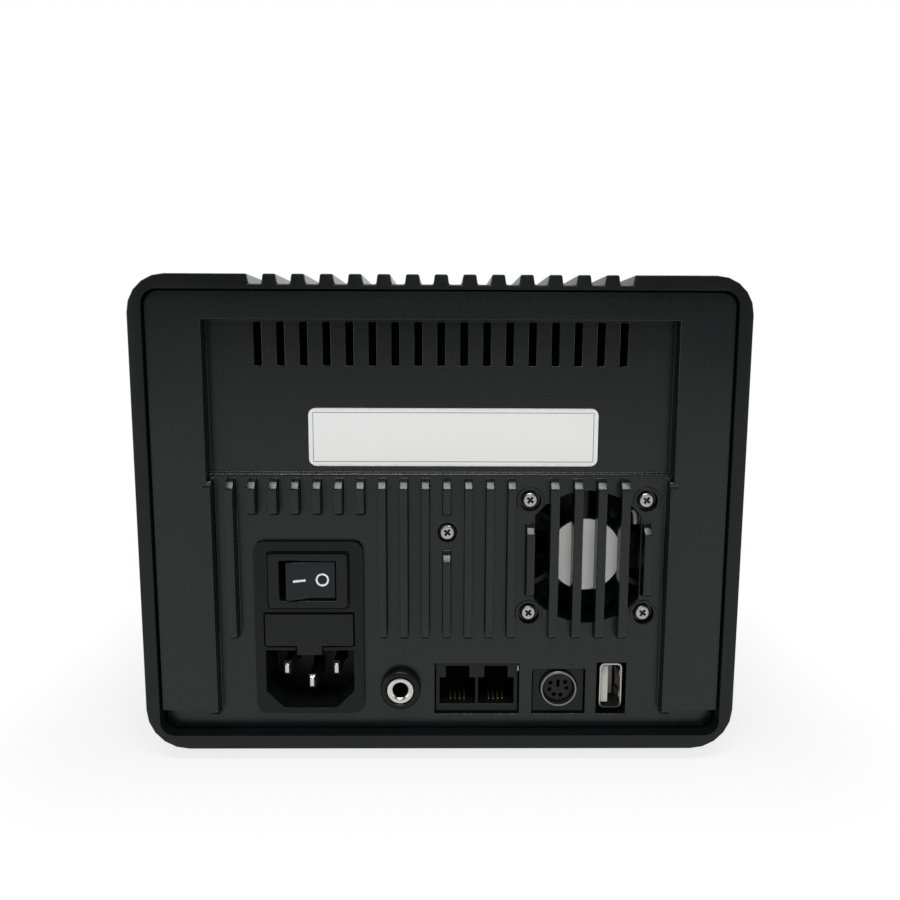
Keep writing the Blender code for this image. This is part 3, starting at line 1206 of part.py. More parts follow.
def casing_section(inset, y):
    """The casing's plain outline at a depth, drawn in by an inset."""
    low = (-HALF_WIDTH + inset, inset)
    high = (HALF_WIDTH - inset, BODY_HEIGHT - inset)
    return [(x, y, z) for x, z in rounded(low, high, BOTTOM_CORNER - inset, 6, TOP_CORNER - inset)]


def key_places():
    """Each key's name and its middle across the front."""
    span = (len(KEY_NAMES) - 1) / 2
    return [(name, (i - span) * (KEY_WIDTH + KEY_GAP)) for i, name in enumerate(KEY_NAMES)]


def control_boss_places():
    """The posts inside the bezel that carry the control board."""
    across = CONTROL_BOARD[0] / 2 - CONTROL_BOSS_INSET
    up = CONTROL_BOARD[1] / 2 - CONTROL_BOSS_INSET
    return [(x, PANE_FIELD_Z + z) for x in side_pair(across) for z in side_pair(up)]


def front_bezel():
    """The front: rounded outer edge, sunk control field, a spigot into the sleeve and posts for the board."""
    fillet = BEZEL_FILLET
    loops = [casing_section(0, BEZEL_BACK)]
    for i in range(5):
        turn = math.radians(90 * i / 4)
        depth = FRONT_FACE - fillet * (1 - math.sin(turn))
        loops.append(casing_section(fillet * (1 - math.cos(turn)), depth))
    bm = bmesh.new()
    loft(bm, loops)
    bezel = piece("front_bezel", bm, "moulded_black")
    bm = bmesh.new()
    half = MOUTH_HALF - GAP
    outline = rounded((-half, FLOOR_WALL + GAP), (half, MOUTH_TOP - GAP), INNER_CORNER - GAP)
    prism(bm, outline, FRONT_LIP + GAP, BEZEL_BACK + BITE)
    join(bezel, bm, "spigot")
    bm = bmesh.new()
    half -= SPIGOT_WALL
    low = (-half, FLOOR_WALL + GAP + SPIGOT_WALL)
    prism(bm, rounded(low, (half, MOUTH_TOP - GAP - SPIGOT_WALL), INNER_CORNER), FRONT_LIP, BEZEL_INSIDE)
    cut(bezel, bm, "hollow")
    bm = bmesh.new()
    outline = rounded_at(0, PANE_FIELD_Z, PANE_FIELD[0], PANE_FIELD[1], 2 * WINDOW_CORNER)
    prism(bm, outline, FRONT_FACE - PANE_FIELD_DEPTH, FRONT_FACE + OVER)
    cut(bezel, bm, "control_field")
    field = FRONT_FACE - PANE_FIELD_DEPTH
    bm = bmesh.new()
    size = [side + 2 * GAP for side in WINDOW_SIZE]
    seat = field - WINDOW_THICKNESS - GAP
    prism(bm, rounded_at(0, WINDOW_Z, size[0], size[1], WINDOW_CORNER), seat, field + OVER)
    cut(bezel, bm, "pane_seat")
    bm = bmesh.new()
    width, height = WINDOW_SIZE[0] - 2 * WINDOW_LEDGE, WINDOW_SIZE[1] - 2 * WINDOW_LEDGE
    block_at(bm, 0, WINDOW_Z, width, height, BEZEL_INSIDE - OVER, field)
    for _, x in key_places():
        size = [side + 2 * GAP for side in KEY_SIZE]
        prism(bm, rounded_at(x, KEY_Z, size[0], size[1], KEY_CORNER, 2), BEZEL_INSIDE - OVER, FRONT_FACE)
    rod(bm, (IRON_X, 0, IRON_Z), IRON_BARREL[0] + GAP, BEZEL_INSIDE - OVER, FRONT_FACE + OVER, steps=20)
    rod(bm, (GLAND_X, 0, GLAND_Z), GLAND_SHANK + GAP, BEZEL_INSIDE - OVER, FRONT_FACE + OVER, steps=20)
    cut(bezel, bm, "openings")
    bm = bmesh.new()
    for x, z in control_boss_places():
        rod(bm, (x, 0, z), CONTROL_BOSS, CONTROL_FACE + GAP, BEZEL_INSIDE + BITE, steps=8)
    join(bezel, bm, "posts")
    bm = bmesh.new()
    for x, z in control_boss_places():
        rod(bm, (x, 0, z), SCREW_RADIUS + GAP, CONTROL_FACE, BEZEL_INSIDE, steps=8)
    cut(bezel, bm, "post_holes")


def display():
    """The pane in the bezel, and the display module behind it."""
    field = FRONT_FACE - PANE_FIELD_DEPTH
    bm = bmesh.new()
    outline = rounded_at(0, WINDOW_Z, WINDOW_SIZE[0], WINDOW_SIZE[1], WINDOW_CORNER - GAP)
    prism(bm, outline, field - WINDOW_THICKNESS, field)
    piece("display_pane", bm, "smoked_pane")
    bm = bmesh.new()
    back = BEZEL_INSIDE - GAP - DISPLAY_DEPTH
    block_at(bm, 0, WINDOW_Z, DISPLAY_SIZE[0], DISPLAY_SIZE[1], back, BEZEL_INSIDE - GAP)
    piece("display_module", bm, "display_glass")


def keys():
    """The key caps, each with a flange that stops it inside the bezel."""
    flange_face = BEZEL_INSIDE - GAP
    back = flange_face - KEY_FLANGE[1]
    top = FRONT_FACE - PANE_FIELD_DEPTH + KEY_PROUD
    for name, x in key_places():
        bm = bmesh.new()
        width, height = KEY_SIZE
        loops = []
        for y, inset in ((flange_face - BITE, 0), (top - KEY_BEVEL, 0), (top, KEY_BEVEL)):
            size = (width - 2 * inset, height - 2 * inset)
            outline = rounded_at(x, KEY_Z, size[0], size[1], KEY_CORNER - inset, 2)
            loops.append([(a, y, b) for a, b in outline])
        loft(bm, loops)
        cap = piece(name, bm, "key_grey", (x, back, KEY_Z))
        bm = bmesh.new()
        wide = [side + 2 * KEY_FLANGE[0] for side in KEY_SIZE]
        block_at(bm, x, KEY_Z, wide[0], wide[1], back, flange_face)
        join(cap, bm, "flange")


def control_board():
    """The board behind the display and keys, with the switch that each key presses and its four screws."""
    bm = bmesh.new()
    block_at(bm, 0, PANE_FIELD_Z, CONTROL_BOARD[0], CONTROL_BOARD[1], CONTROL_BACK, CONTROL_FACE)
    board = piece("control_board", bm, "board_green")
    bm = bmesh.new()
    high = BEZEL_INSIDE - GAP - KEY_FLANGE[1] - KEY_TRAVEL - GAP
    for _, x in key_places():
        block_at(bm, x, KEY_Z, TACT_SIZE, TACT_SIZE, CONTROL_FACE - BITE, high - TACT_PLUNGER[1])
    join(board, bm, "tact_bodies")
    bm = bmesh.new()
    for _, x in key_places():
        rod(bm, (x, 0, KEY_Z), TACT_PLUNGER[0], high - TACT_PLUNGER[1] - BITE, high, steps=8)
    join(board, bm, "tact_plungers")
    bm = bmesh.new()
    for x, z in control_boss_places():
        centre = (x, CONTROL_BACK, z)
        pan_screw(bm, centre, SCREW_HEAD_RADIUS, SCREW_HEAD_HEIGHT, SCREW_RADIUS, SCREW_LENGTH)
    join(board, bm, "screws")


def iron_socket():
    """The soldering iron's round socket: metal shell, insert with its contact holes, and the nut inside."""
    centre = (IRON_X, 0, IRON_Z)
    seat = FRONT_FACE + GAP
    bevel = IRON_FLANGE_BEVEL
    profile = [(IRON_BARREL[1], FRONT_FACE - IRON_TAIL), (IRON_BARREL[0], FRONT_FACE - IRON_TAIL)]
    flange = seat + IRON_FLANGE[1]
    profile += [(IRON_BARREL[0], seat), (IRON_FLANGE[0], seat), (IRON_FLANGE[0], flange - bevel)]
    profile += [(IRON_FLANGE[0] - bevel, flange), (IRON_BARREL[0], flange)]
    profile += [(IRON_BARREL[0], seat + IRON_PROUD), (IRON_BARREL[1], seat + IRON_PROUD)]
    bm = bmesh.new()
    turned(bm, profile, centre, steps=24, ring=True)
    piece("iron_socket_shell", bm, "nickel")
    bm = bmesh.new()
    face = seat + IRON_PROUD - IRON_INSERT_DEPTH
    rod(bm, centre, IRON_BARREL[1] - GAP, FRONT_FACE - IRON_TAIL, face, steps=20)
    insert = piece("iron_socket_insert", bm, "fitting_black")
    bm = bmesh.new()
    for i in range(IRON_PINS):
        turn = math.radians(90 + IRON_PIN_SPAN * (i / (IRON_PINS - 1) - 0.5))
        place = (IRON_X + IRON_PIN_CIRCLE * math.cos(turn), 0, IRON_Z + IRON_PIN_CIRCLE * math.sin(turn))
        rod(bm, place, IRON_PIN_HOLE, face - IRON_HOLE_DEPTH, face + OVER, steps=6)
    cut(insert, bm, "contact_holes")
    bm = bmesh.new()
    nut = (BEZEL_INSIDE - GAP - IRON_NUT[1], BEZEL_INSIDE - GAP)
    prism(bm, circle(IRON_X, IRON_Z, IRON_NUT[0], 6), nut[0], nut[1])
    ring = piece("iron_socket_nut", bm, "nickel")
    bm = bmesh.new()
    rod(bm, centre, IRON_BARREL[0] + GAP, nut[0] - OVER, nut[1] + OVER, steps=20)
    cut(ring, bm, "bore")


def air_outlet():
    """The hot air handle's outlet: a fluted gland through the bezel and the nut that holds it inside."""
    centre = (GLAND_X, 0, GLAND_Z)
    seat = FRONT_FACE + GAP
    tail, shoulder = GLAND_END, GLAND_SHOULDER
    top = seat + GLAND_PROUD
    profile = [(GLAND_TAIL_BORE, tail), (GLAND_TAIL, tail), (GLAND_TAIL, shoulder), (GLAND_SHANK, shoulder)]
    profile += [(GLAND_SHANK, seat), (GLAND_FLANGE[0], seat), (GLAND_FLANGE[0], seat + GLAND_FLANGE[1])]
    profile += [(GLAND_NOSE[0], seat + GLAND_FLANGE[1]), (GLAND_NOSE[1], top - GLAND_BEVEL)]
    profile += [(GLAND_NOSE[1] - GLAND_BEVEL, top)]
    profile += [(GLAND_BORE, top), (GLAND_BORE, shoulder)]
    bm = bmesh.new()
    turned(bm, profile, centre, steps=24, ring=True)
    gland = piece("air_outlet_gland", bm, "fitting_black")
    bm = bmesh.new()
    for i in range(GLAND_FLUTES):
        turn = math.tau * i / GLAND_FLUTES
        reach = GLAND_FLANGE[0] + GLAND_FLUTE / 2
        place = (GLAND_X + reach * math.cos(turn), 0, GLAND_Z + reach * math.sin(turn))
        rod(bm, place, GLAND_FLUTE, seat - OVER, seat + GLAND_FLANGE[1] + OVER, steps=6)
    cut(gland, bm, "flutes")
    bm = bmesh.new()
    nut = (BEZEL_INSIDE - GAP - GLAND_NUT[1], BEZEL_INSIDE - GAP)
    prism(bm, circle(GLAND_X, GLAND_Z, GLAND_NUT[0], 6), nut[0], nut[1])
    ring = piece("gland_nut", bm, "fitting_black")
    bm = bmesh.new()
    rod(bm, centre, GLAND_SHANK + GAP, nut[0] - OVER, nut[1] + OVER, steps=20)
    cut(ring, bm, "bore")


def air_duct():
    """The hose from the blower's stub to the gland's tail, swept along a gentle double bend."""
    inner = GLAND_TAIL + GAP
    outer = inner + DUCT_WALL
    start = Vector((OUTLET_X, OUTLET_Y + GAP, OUTLET_Z))
    end = Vector((GLAND_X, GLAND_END + BLOWER_STUB, GLAND_Z))
    sides = 16
    straight = BLOWER_STUB / (end.y - start.y)
    rings = [(start, outer)]
    for i in range(DUCT_RINGS - 1):
        bend = i / (DUCT_RINGS - 2)
        ease = bend * bend * (3 - 2 * bend)
        middle = start.lerp(end, ease)
        middle.y = start.y + (end.y - start.y) * (straight + (1 - 2 * straight) * bend)
        rings.append((middle, outer))
    rings.append((end, outer))
    rings += [(middle, inner) for middle, _ in reversed(rings)]
    bm = bmesh.new()
    made = []
    for middle, radius in rings:
        around = circle(middle.x, middle.z, radius, sides)
        made.append([bm.verts.new((x, middle.y, z)) for x, z in around])
    for near, far in zip(made, made[1:] + made[:1]):
        for i in range(sides):
            bm.faces.new((near[i], near[(i + 1) % sides], far[(i + 1) % sides], far[i]))
    piece("air_duct", bm, "hose_black")


# Blower


def scroll_outline(wall):
    """The blower's spiral section, drawn in by a wall, with its straight outlet along y."""
    steps = 28
    spiral = []
    for i in range(steps + 1):
        share = i / steps
        angle = math.radians(SCROLL_ANGLE + (360 - SCROLL_ANGLE) * share)
        radius = SCROLL_START + (SCROLL_END - SCROLL_START) * share - wall
        spiral.append((BLOWER_X + radius * math.cos(angle), BLOWER_Y + radius * math.sin(angle)))
    high = OUTLET_Y - wall
    outer = BLOWER_X + SCROLL_END - wall
    return spiral + [(outer, high), (outer - SCROLL_MOUTH + 2 * wall, high)]


def blower_housing():
    """The blower's scroll casing: inlet hole on top, shaft hole below and a round outlet stub."""
    bm = bmesh.new()
    prism(bm, scroll_outline(0), BLOWER_LOW, BLOWER_LOW + BLOWER_HEIGHT, "XY")
    casing = piece("blower_housing", bm, "blower_grey")
    bm = bmesh.new()
    high = BLOWER_LOW + BLOWER_HEIGHT - BLOWER_WALL
    prism(bm, scroll_outline(BLOWER_WALL), BLOWER_LOW + BLOWER_WALL, high, "XY")
    cut(casing, bm, "hollow")
    bm = bmesh.new()
    centre = (OUTLET_X, 0, OUTLET_Z)
    rod(bm, centre, GLAND_TAIL, OUTLET_Y - BITE, OUTLET_Y + BLOWER_STUB, steps=20)
    join(casing, bm, "stub")
    bm = bmesh.new()
    ends = (OUTLET_Y - BLOWER_WALL - OVER, OUTLET_Y + BLOWER_STUB + OVER)
    rod(bm, centre, GLAND_TAIL_BORE, ends[0], ends[1], steps=20)
    rod(bm, (BLOWER_X, BLOWER_Y, 0), BLOWER_INLET, high - OVER, high + BLOWER_WALL + OVER, "Z", 28)
    low = BLOWER_LOW - OVER
    rod(bm, (BLOWER_X, BLOWER_Y, 0), 2 * SHAFT_RADIUS, low, low + 2 * OVER + BLOWER_WALL, "Z", 12)
    cut(casing, bm, "holes")


def blower_impeller():
    """The blower's wheel: back plate, hub, shaft and forward-curved blades, its origin on the axis."""
    pivot = (BLOWER_X, BLOWER_Y, (WHEEL_LOW + WHEEL_HIGH) / 2)
    shaft_low = BLOWER_LOW - MOTOR_HEIGHT + OVER
    plate = WHEEL_LOW + WHEEL_PLATE
    tip = WHEEL_HIGH - WHEEL_HUB_TIP[1]
    profile = [(0, shaft_low), (SHAFT_RADIUS, shaft_low), (SHAFT_RADIUS, WHEEL_LOW)]
    profile += [(WHEEL_RADIUS, WHEEL_LOW), (WHEEL_RADIUS, plate), (WHEEL_HUB, plate)]
    profile += [(WHEEL_HUB_TIP[0], tip), (0, tip + WHEEL_HUB_CROWN)]
    bm = bmesh.new()
    turned(bm, profile, (BLOWER_X, BLOWER_Y, 0), "Z", 24)
    wheel = piece("blower_impeller", bm, "fitting_black", pivot)
    bm = bmesh.new()
    for i in range(WHEEL_BLADES):
        start = math.tau * i / WHEEL_BLADES
        edge = []
        for share in (0.0, 0.5, 1.0):
            radius = WHEEL_INNER + (WHEEL_RADIUS - BITE - WHEEL_INNER) * share
            turn = start + WHEEL_BLADE_LEAN * share * share
            edge.append((radius, turn))
        half = WHEEL_BLADE / 2
        near = [(r * math.cos(a) + half * math.sin(a), r * math.sin(a) - half * math.cos(a)) for r, a in edge]
        far = [(r * math.cos(a) - half * math.sin(a), r * math.sin(a) + half * math.cos(a)) for r, a in edge]
        outline = [(BLOWER_X + x, BLOWER_Y + y) for x, y in near + far[::-1]]
        prism(bm, outline, plate - BITE, WHEEL_HIGH, "XY")
    join(wheel, bm, "blades")


def blower_motor():
    """The flat motor under the blower's floor, with a bore for the wheel's shaft."""
    top = BLOWER_LOW - GAP
    low = top - MOTOR_HEIGHT
    bore = SHAFT_RADIUS + GAP
    profile = [(bore, low), (MOTOR_RADIUS - MOTOR_BEVEL, low), (MOTOR_RADIUS, low + MOTOR_BEVEL)]
    profile += [(MOTOR_RADIUS, top), (bore, top)]
    bm = bmesh.new()
    turned(bm, profile, (BLOWER_X, BLOWER_Y, 0), "Z", 16, ring=True)
    piece("blower_motor", bm, "aluminium")


# Transformer


def strap_screw_places():
    """Where the strap's two feet are screwed to the base plate."""
    return [CORE_Y + side * (CORE_SIZE[1] / 2 + STRAP_SCREW) for side in side_pair(1)]


def transformer():
    """The mains transformer: stacked core with two windows, coil, clamping strap and its screws."""
    stack, length, height = CORE_SIZE
    low, high = ON_PLATE, ON_PLATE + height
    left, right = CORE_X - stack / 2, CORE_X + stack / 2
    near, far = CORE_Y - length / 2, CORE_Y + length / 2
    bm = bmesh.new()
    block(bm, (left, near, low), (right, far, high))
    core = piece("transformer_core", bm, "lamination")
    bm = bmesh.new()
    window = (length - 4 * CORE_LEG) / 2
    for side in side_pair(1):
        inner, outer = sorted((CORE_Y + side * CORE_LEG, CORE_Y + side * (CORE_LEG + window)))
        block(bm, (left - OVER, inner, low + CORE_LEG), (right + OVER, outer, high - CORE_LEG))
    cut(core, bm, "windows")
    bm = bmesh.new()
    half = CORE_LEG + window - GAP
    outline = rounded((left - COIL_BUILD, CORE_Y - half), (right + COIL_BUILD, CORE_Y + half), COIL_CORNER)
    prism(bm, outline, low + CORE_LEG + GAP, high - CORE_LEG - GAP, "XY")
    coil = piece("transformer_coil", bm, "winding_tape")
    bm = bmesh.new()
    leg = CORE_LEG + GAP
    block(bm, (left - GAP, CORE_Y - leg, low), (right + GAP, CORE_Y + leg, high))
    cut(coil, bm, "leg_hole")
    bm = bmesh.new()
    t, top = STRAP_SHEET, high + GAP
    half_span = length / 2 + GAP
    right = [(half_span, top), (half_span, ON_PLATE), (half_span + STRAP_FOOT, ON_PLATE)]
    right += [(half_span + STRAP_FOOT, ON_PLATE + t), (half_span + t, ON_PLATE + t), (half_span + t, top + t)]
    profile = [(CORE_Y + a, b) for a, b in right] + [(CORE_Y - a, b) for a, b in reversed(right)]
    prism(bm, profile, CORE_X - STRAP_WIDTH / 2, CORE_X + STRAP_WIDTH / 2, "YZ")
    strap = piece("transformer_strap", bm, "zinc_steel")
    bm = bmesh.new()
    for y in strap_screw_places():
        seat = (CORE_X, y, ON_PLATE + t)
        pan_screw(bm, seat, SCREW_HEAD_RADIUS, SCREW_HEAD_HEIGHT, SCREW_RADIUS, SCREW_LENGTH, "Z", -1)
    join(strap, bm, "screws")


# Power board


def power_board():
    """The power board with its upright capacitors and the screw terminals along its rear edge."""
    bm = bmesh.new()
    block(bm, (*POWER_LOW, POWER_TOP - BOARD_SHEET), (*POWER_HIGH, POWER_TOP))
    board = piece("power_board", bm, "board_green")
    root = POWER_TOP - BITE
    bm = bmesh.new()
    for x, y, radius, height in CAPACITORS:
        top = POWER_TOP + height
        rim = CAPACITOR_RIM
        waist = POWER_TOP + 4 * rim
        profile = [(0, root), (radius, root), (radius, waist - rim), (radius - rim, waist)]
        profile += [(radius, waist + rim), (radius, top - rim), (radius - rim, top), (0, top)]
        turned(bm, profile, (x, y, 0), "Z", 12)
    join(board, bm, "capacitors")
    y = POWER_LOW[1] + TERMINAL_MARGIN
    width, depth, height = TERMINAL_SIZE
    roof = POWER_TOP + height
    across, down = TERMINAL_SLOPE
    bm = bmesh.new()
    for x in TERMINAL_X:
        profile = [(y, root), (y + depth, root), (y + depth, roof - down), (y + depth - across, roof)]
        profile += [(y + across, roof), (y, roof - down)]
        prism(bm, profile, x - width / 2, x + width / 2, "YZ")
    join(board, bm, "terminals")
    bm = bmesh.new()
    for x in TERMINAL_X:
        for way in range(TERMINAL_WAYS):
            at = x + (way - (TERMINAL_WAYS - 1) / 2) * width / TERMINAL_WAYS
            mid = POWER_TOP + TERMINAL_HOLE_RISE
            block_at(bm, at, mid, TERMINAL_HOLE, TERMINAL_HOLE, y - OVER, y + TERMINAL_HOLE_DEPTH)
    cut(board, bm, "wire_holes")


def heatsink():
    """An extruded comb of cooling fins over the power devices."""
    low, size = HEATSINK_LOW, HEATSINK_SIZE
    pitch = (size[0] - HEATSINK_FIN) / (HEATSINK_FINS - 1)
    outline = [(low[0], low[1]), (low[0] + size[0], low[1])]
    for i in reversed(range(HEATSINK_FINS)):
        x = low[0] + i * pitch
        outline += [(x + HEATSINK_FIN, low[1] + HEATSINK_BASE), (x + HEATSINK_FIN, low[1] + size[1])]
        outline += [(x, low[1] + size[1]), (x, low[1] + HEATSINK_BASE)]
    clean = [outline[0], outline[1]] + outline[3:-1]
    bm = bmesh.new()
    prism(bm, clean, ON_POWER, ON_POWER + size[2], "XY")
    piece("heatsink", bm, "aluminium")


def build():
    """Makes the station."""
    clear_scene()
    station = bpy.data.objects.new("station", None)
    bpy.context.scene.collection.objects.link(station)
    station.location = (0, -OVERALL_DEPTH / 2, FOOT_HEIGHT)
    for make in (
        main_housing, base_plate, rubber_feet, base_screws,
        rear_panel, fan_screws, panel_screw, rear_brace, fan_frame, fan_rotor,
        inlet_housing, inlet_pins, fuse_drawer, fuse, switch_frame, switch_rocker,
        earth_socket, twin_jack, din_socket, usb_socket, interface_board,
        front_bezel, display, keys, control_board, iron_socket, air_outlet, air_duct,
        blower_housing, blower_impeller, blower_motor, transformer, power_board, heatsink,
    ):
        make()


build()
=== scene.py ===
"""Looks of a bench rework station seen from behind: black moulded case, finned back panel with a mains
inlet, switch, earth socket, signal sockets and cooling fan, and a front with display, keys, iron socket and
air outlet.

All lengths are in metres. "From the rim" and "from the underside" mean the station's own measures: y from the
case's rear rim towards its front, z up from the casing's underside. station() turns them into a place.
"""

import json
import math

import bmesh
import bpy
from mathutils import Matrix, Vector

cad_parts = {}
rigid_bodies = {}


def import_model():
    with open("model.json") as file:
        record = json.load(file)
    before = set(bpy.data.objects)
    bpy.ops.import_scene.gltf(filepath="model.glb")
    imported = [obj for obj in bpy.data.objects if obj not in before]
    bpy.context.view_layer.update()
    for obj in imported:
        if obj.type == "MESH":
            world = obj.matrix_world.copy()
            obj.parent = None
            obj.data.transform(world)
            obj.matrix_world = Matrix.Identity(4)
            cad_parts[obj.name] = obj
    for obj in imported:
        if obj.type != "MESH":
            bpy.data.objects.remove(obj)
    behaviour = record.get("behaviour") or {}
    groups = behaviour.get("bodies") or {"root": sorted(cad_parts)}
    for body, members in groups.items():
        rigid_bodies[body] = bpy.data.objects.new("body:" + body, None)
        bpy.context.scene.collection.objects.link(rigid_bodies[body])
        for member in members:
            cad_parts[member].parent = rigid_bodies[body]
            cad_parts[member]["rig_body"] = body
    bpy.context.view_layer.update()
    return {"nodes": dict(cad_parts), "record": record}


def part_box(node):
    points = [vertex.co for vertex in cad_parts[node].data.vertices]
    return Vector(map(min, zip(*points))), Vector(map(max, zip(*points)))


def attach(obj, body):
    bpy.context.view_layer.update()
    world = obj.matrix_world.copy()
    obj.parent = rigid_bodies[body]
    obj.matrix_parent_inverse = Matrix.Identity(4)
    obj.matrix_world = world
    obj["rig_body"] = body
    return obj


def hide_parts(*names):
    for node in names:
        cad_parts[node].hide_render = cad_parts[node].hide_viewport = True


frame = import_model()
NODES = frame["nodes"]
SLOT_OF = {part["node"]: part["material_slot"] for part in frame["record"]["subparts"]}

# Photograph's camera, from the station's rear rim and underside
CAMERA_PLACE = (0.00056, -0.19902, 0.11014)
CAMERA_PITCH = 7.39
CAMERA_YAW = 0.53
CAMERA_ROLL = 0.21
LENS = 30.26
SENSOR = 36.0

# Floor: its size, how white it shows beside the case, and over what distance from the case it turns white
FLOOR_SIZE = 12.0
NEAR_WHITE = 0.70
WHITENS = (0.0, 0.06)

# Sky: its light, and the room that gloss sees, which is dim towards the camera and turns white past the case
WORLD_LIGHT = 0.20
ROOM_GLOSS = 0.07
ROOM_TURN = (-0.5, 0.4)

LAMPS = (
    # name, place, what it points at, width, depth, watts
    ("overhead", (0.0, -0.52, 0.88), (0.0, -0.12, 0.06), 0.60, 0.15, 5.4),
    ("behind the camera", (0.05, -1.05, 0.62), (0.0, -0.1, 0.05), 0.45, 0.45, 1.1),
    ("left", (-1.05, -0.80, 0.22), (0.0, -0.1, 0.05), 0.70, 0.70, 3.9),
    ("right", (1.05, -0.80, 0.22), (0.0, -0.1, 0.05), 0.70, 0.70, 2.0),
    ("front side", (0.55, 1.10, 0.60), (0.0, 0.1, 0.06), 0.80, 0.80, 3.0),
)

# Bevels: a run of edges goes on over a bend of less than this, and takes this share of the room beside it
RUN_BEND = 0.6
ROOM_SHARE = 0.42

# Sizes that several pieces share, and the angle from which an edge is drawn sharp
SHEET_LIFT = 0.00004
PRINT_DEPTH = 0.00005
CASE_ROUND = 0.00045
FINE_ROUND = 0.00018
SMALL_ROUND = 0.0001
SHARP = math.radians(35)

# Back panel: its fins' and its field's face from the rim, its ledge's height, the chamfers, the ledge's tilt,
# and the round of its edges. An edge is rounded where it turns by more than the angle, in degrees.
FIN_FACE = 0.0008
FIELD_FACE = 0.0044
LEDGE = 0.0772
FIN_CHAMFER = 0.0015
LEDGE_CHAMFER = 0.0004
LEDGE_TILT = 0.0001
PANEL_ROUND = 0.00028
PANEL_ANGLE = 37

# Rating label in the sunk bay, left bare: span, rise, corner, thickness, and its frame's inset and line
LABEL_SPAN = (-0.0359, 0.0427)
LABEL_RISE = (0.0792, 0.0950)
LABEL_CORNER = 0.0020
LABEL_THICKNESS = 0.00015
LABEL_FRAME = (0.0011, 0.00022)

# Inlet: rounds, and the gap cut round the switch's surround, which reaches outside and inside its edge
INLET_ROUND = 0.00035
BLADE_ROUND = 0.00015
GROOVE_OUT = 0.00035
GROOVE_IN = 0.0002
GROOVE_DEPTH = 0.0006

# Rocker's edges and its marks: their height, the bar's x, width and height, the ring's x and two radii
ROCKER_ROUND = 0.00030
MARK_HEIGHT = 0.0479
BAR_MARK = (-0.03865, 0.0034, 0.00062)
RING_MARK = (-0.0325, 0.00182, 0.00134)

# Round sticker on the fan's hub
STICKER_RADIUS = 0.01015
STICKER_THICKNESS = 0.0001

# Loop of the fan's lead; an edge of it is rounded where it turns by more than LEAD_SHARP, in radians
LEAD_START = (0.0546, 0.0089, 0.0624)
LEAD_RADIUS = 0.00062
LEAD_STEPS = ((0, 0, 0.0011), (-0.0001, 0, 0.0011), (-0.0002, 0, 0.0010), (-0.0004, 0, 0.0008))
LEAD_ROUND = 0.00025
LEAD_SHARP = 1.2

# Screws: heights of the heads, shank's radius, and length of the points
HEAD_HEIGHT = 0.0016
FLOOR_HEAD_HEIGHT = 0.0015
SHANK = 0.0015
POINT = 0.0010
FLOOR_POINT = 0.0011

# Screw's shares: rim's round of the head's height, point's inset and length of the shank's radius
RIM_SHARE = 0.42
POINT_INSET = 0.5
POINT_REACH = 0.6

# Cross recess: shares of the head's radius and height, its turns in degrees, and how it narrows
RECESS_LENGTH = 1.30
RECESS_WIDTH = 0.36
RECESS_DEPTH = 0.62
RECESS_TURNS = (38, 128)
RECESS_TAPER = (0.55, 1, 0.8)

# Painted shade in the recess, a dark cross on its floor: shares of its length and width, and from where to
# where it lies above the floor
CROSS_SHADE_LENGTH = 0.80
CROSS_SHADE_WIDTH = 0.72
CROSS_SHADE_TOP = 0.00022
CROSS_SHADE_FOOT = 0.00004

# Earth socket: radii and depths of its bush, and of the collar's hole, step and shank
EARTH_BORE = 0.0022
EARTH_SHANK = 0.0029
EARTH_FLOOR = 0.002
EARTH_FLANGE = 0.0010
COLLAR_HOLE = 0.0032
COLLAR_STEP = 0.0013
COLLAR_FLANGE = 0.0025
COLLAR_SHANK = 0.0043
COLLAR_GAP = 0.0003

# Round signal socket: its contacts' angles and circle, radius, length and sunk middle of holes and pins, its
# core's and ring's radii, and the corners of its key slot
DIN_PINS = (35, 149, 196, 243, 288, 352)
DIN_CIRCLE = 0.0025
DIN_HOLE = 0.00062
DIN_HOLE_DEPTH = 0.006
DIN_HOLE_SINK = 0.0025
DIN_PIN = 0.00034
DIN_PIN_LENGTH = 0.0026
DIN_PIN_SINK = 0.0029
DIN_CORE = 0.0042
DIN_RING_BORE = 0.0045
DIN_GAP = 0.0003
DIN_KEY = ((-0.00042, -0.0010, -0.0001), (0.00042, 0.0050, 0.0021))

# Flat signal socket: shell's wall and corner, and its gasket's reach, clearance, far face and hole's gap
USB_WALL = 0.00035
USB_CORNER = 0.0013
GASKET_REACH = 0.0022
GASKET_CLEAR = 0.0002
GASKET_BACK = 0.0010
GASKET_GAP = 0.0001

# Its springs: span from the shell's mouth, distance from its middle, half thickness and width, and bow
SPRING_SPAN = (0.0012, 0.0072)
SPRING_RISE = 0.0031
SPRING_HALF = (0.0001, 0.0008)
SPRING_BOW = (0.0, 0.00022, 0.00042, 0.00042, 0.00022, 0.0)

# Its contacts: the tongue's face from the shell's side, how far they sink and stand proud, span, half width
# and pitch
TONGUE_FACE = 0.0026
TONGUE_ROUND = 0.00015
USB_CONTACT_SINK = 0.0001
USB_CONTACT_PROUD = 0.00012
USB_CONTACT_SPAN = (0.0018, 0.0080)
USB_CONTACT_HALF = 0.0005
USB_CONTACT_ROUND = 0.00005
USB_PITCH = 0.0023

# Twin jack: height of its floors, its ports from its middle, its wires, and dark blocks behind them as
# painted shade
TWIN_FLOOR = 0.0107
TWIN_PORTS = (-0.00545, 0.00545)
TWIN_ROUND = 0.00016
TWIN_PITCH = 0.0013
WIRE_HALF = 0.00022
WIRE_SPAN = (0.0014, 0.0098)
WIRE_HEIGHT = (0.0006, 0.0010)
WIRE_RISE = 0.0026
WIRE_ROUND = 0.00008
PORT_SHADE_HALF = 0.0046
PORT_SHADE_SPAN = (0.0100, 0.0109)
PORT_SHADE_HEIGHT = (0.0003, 0.0074)

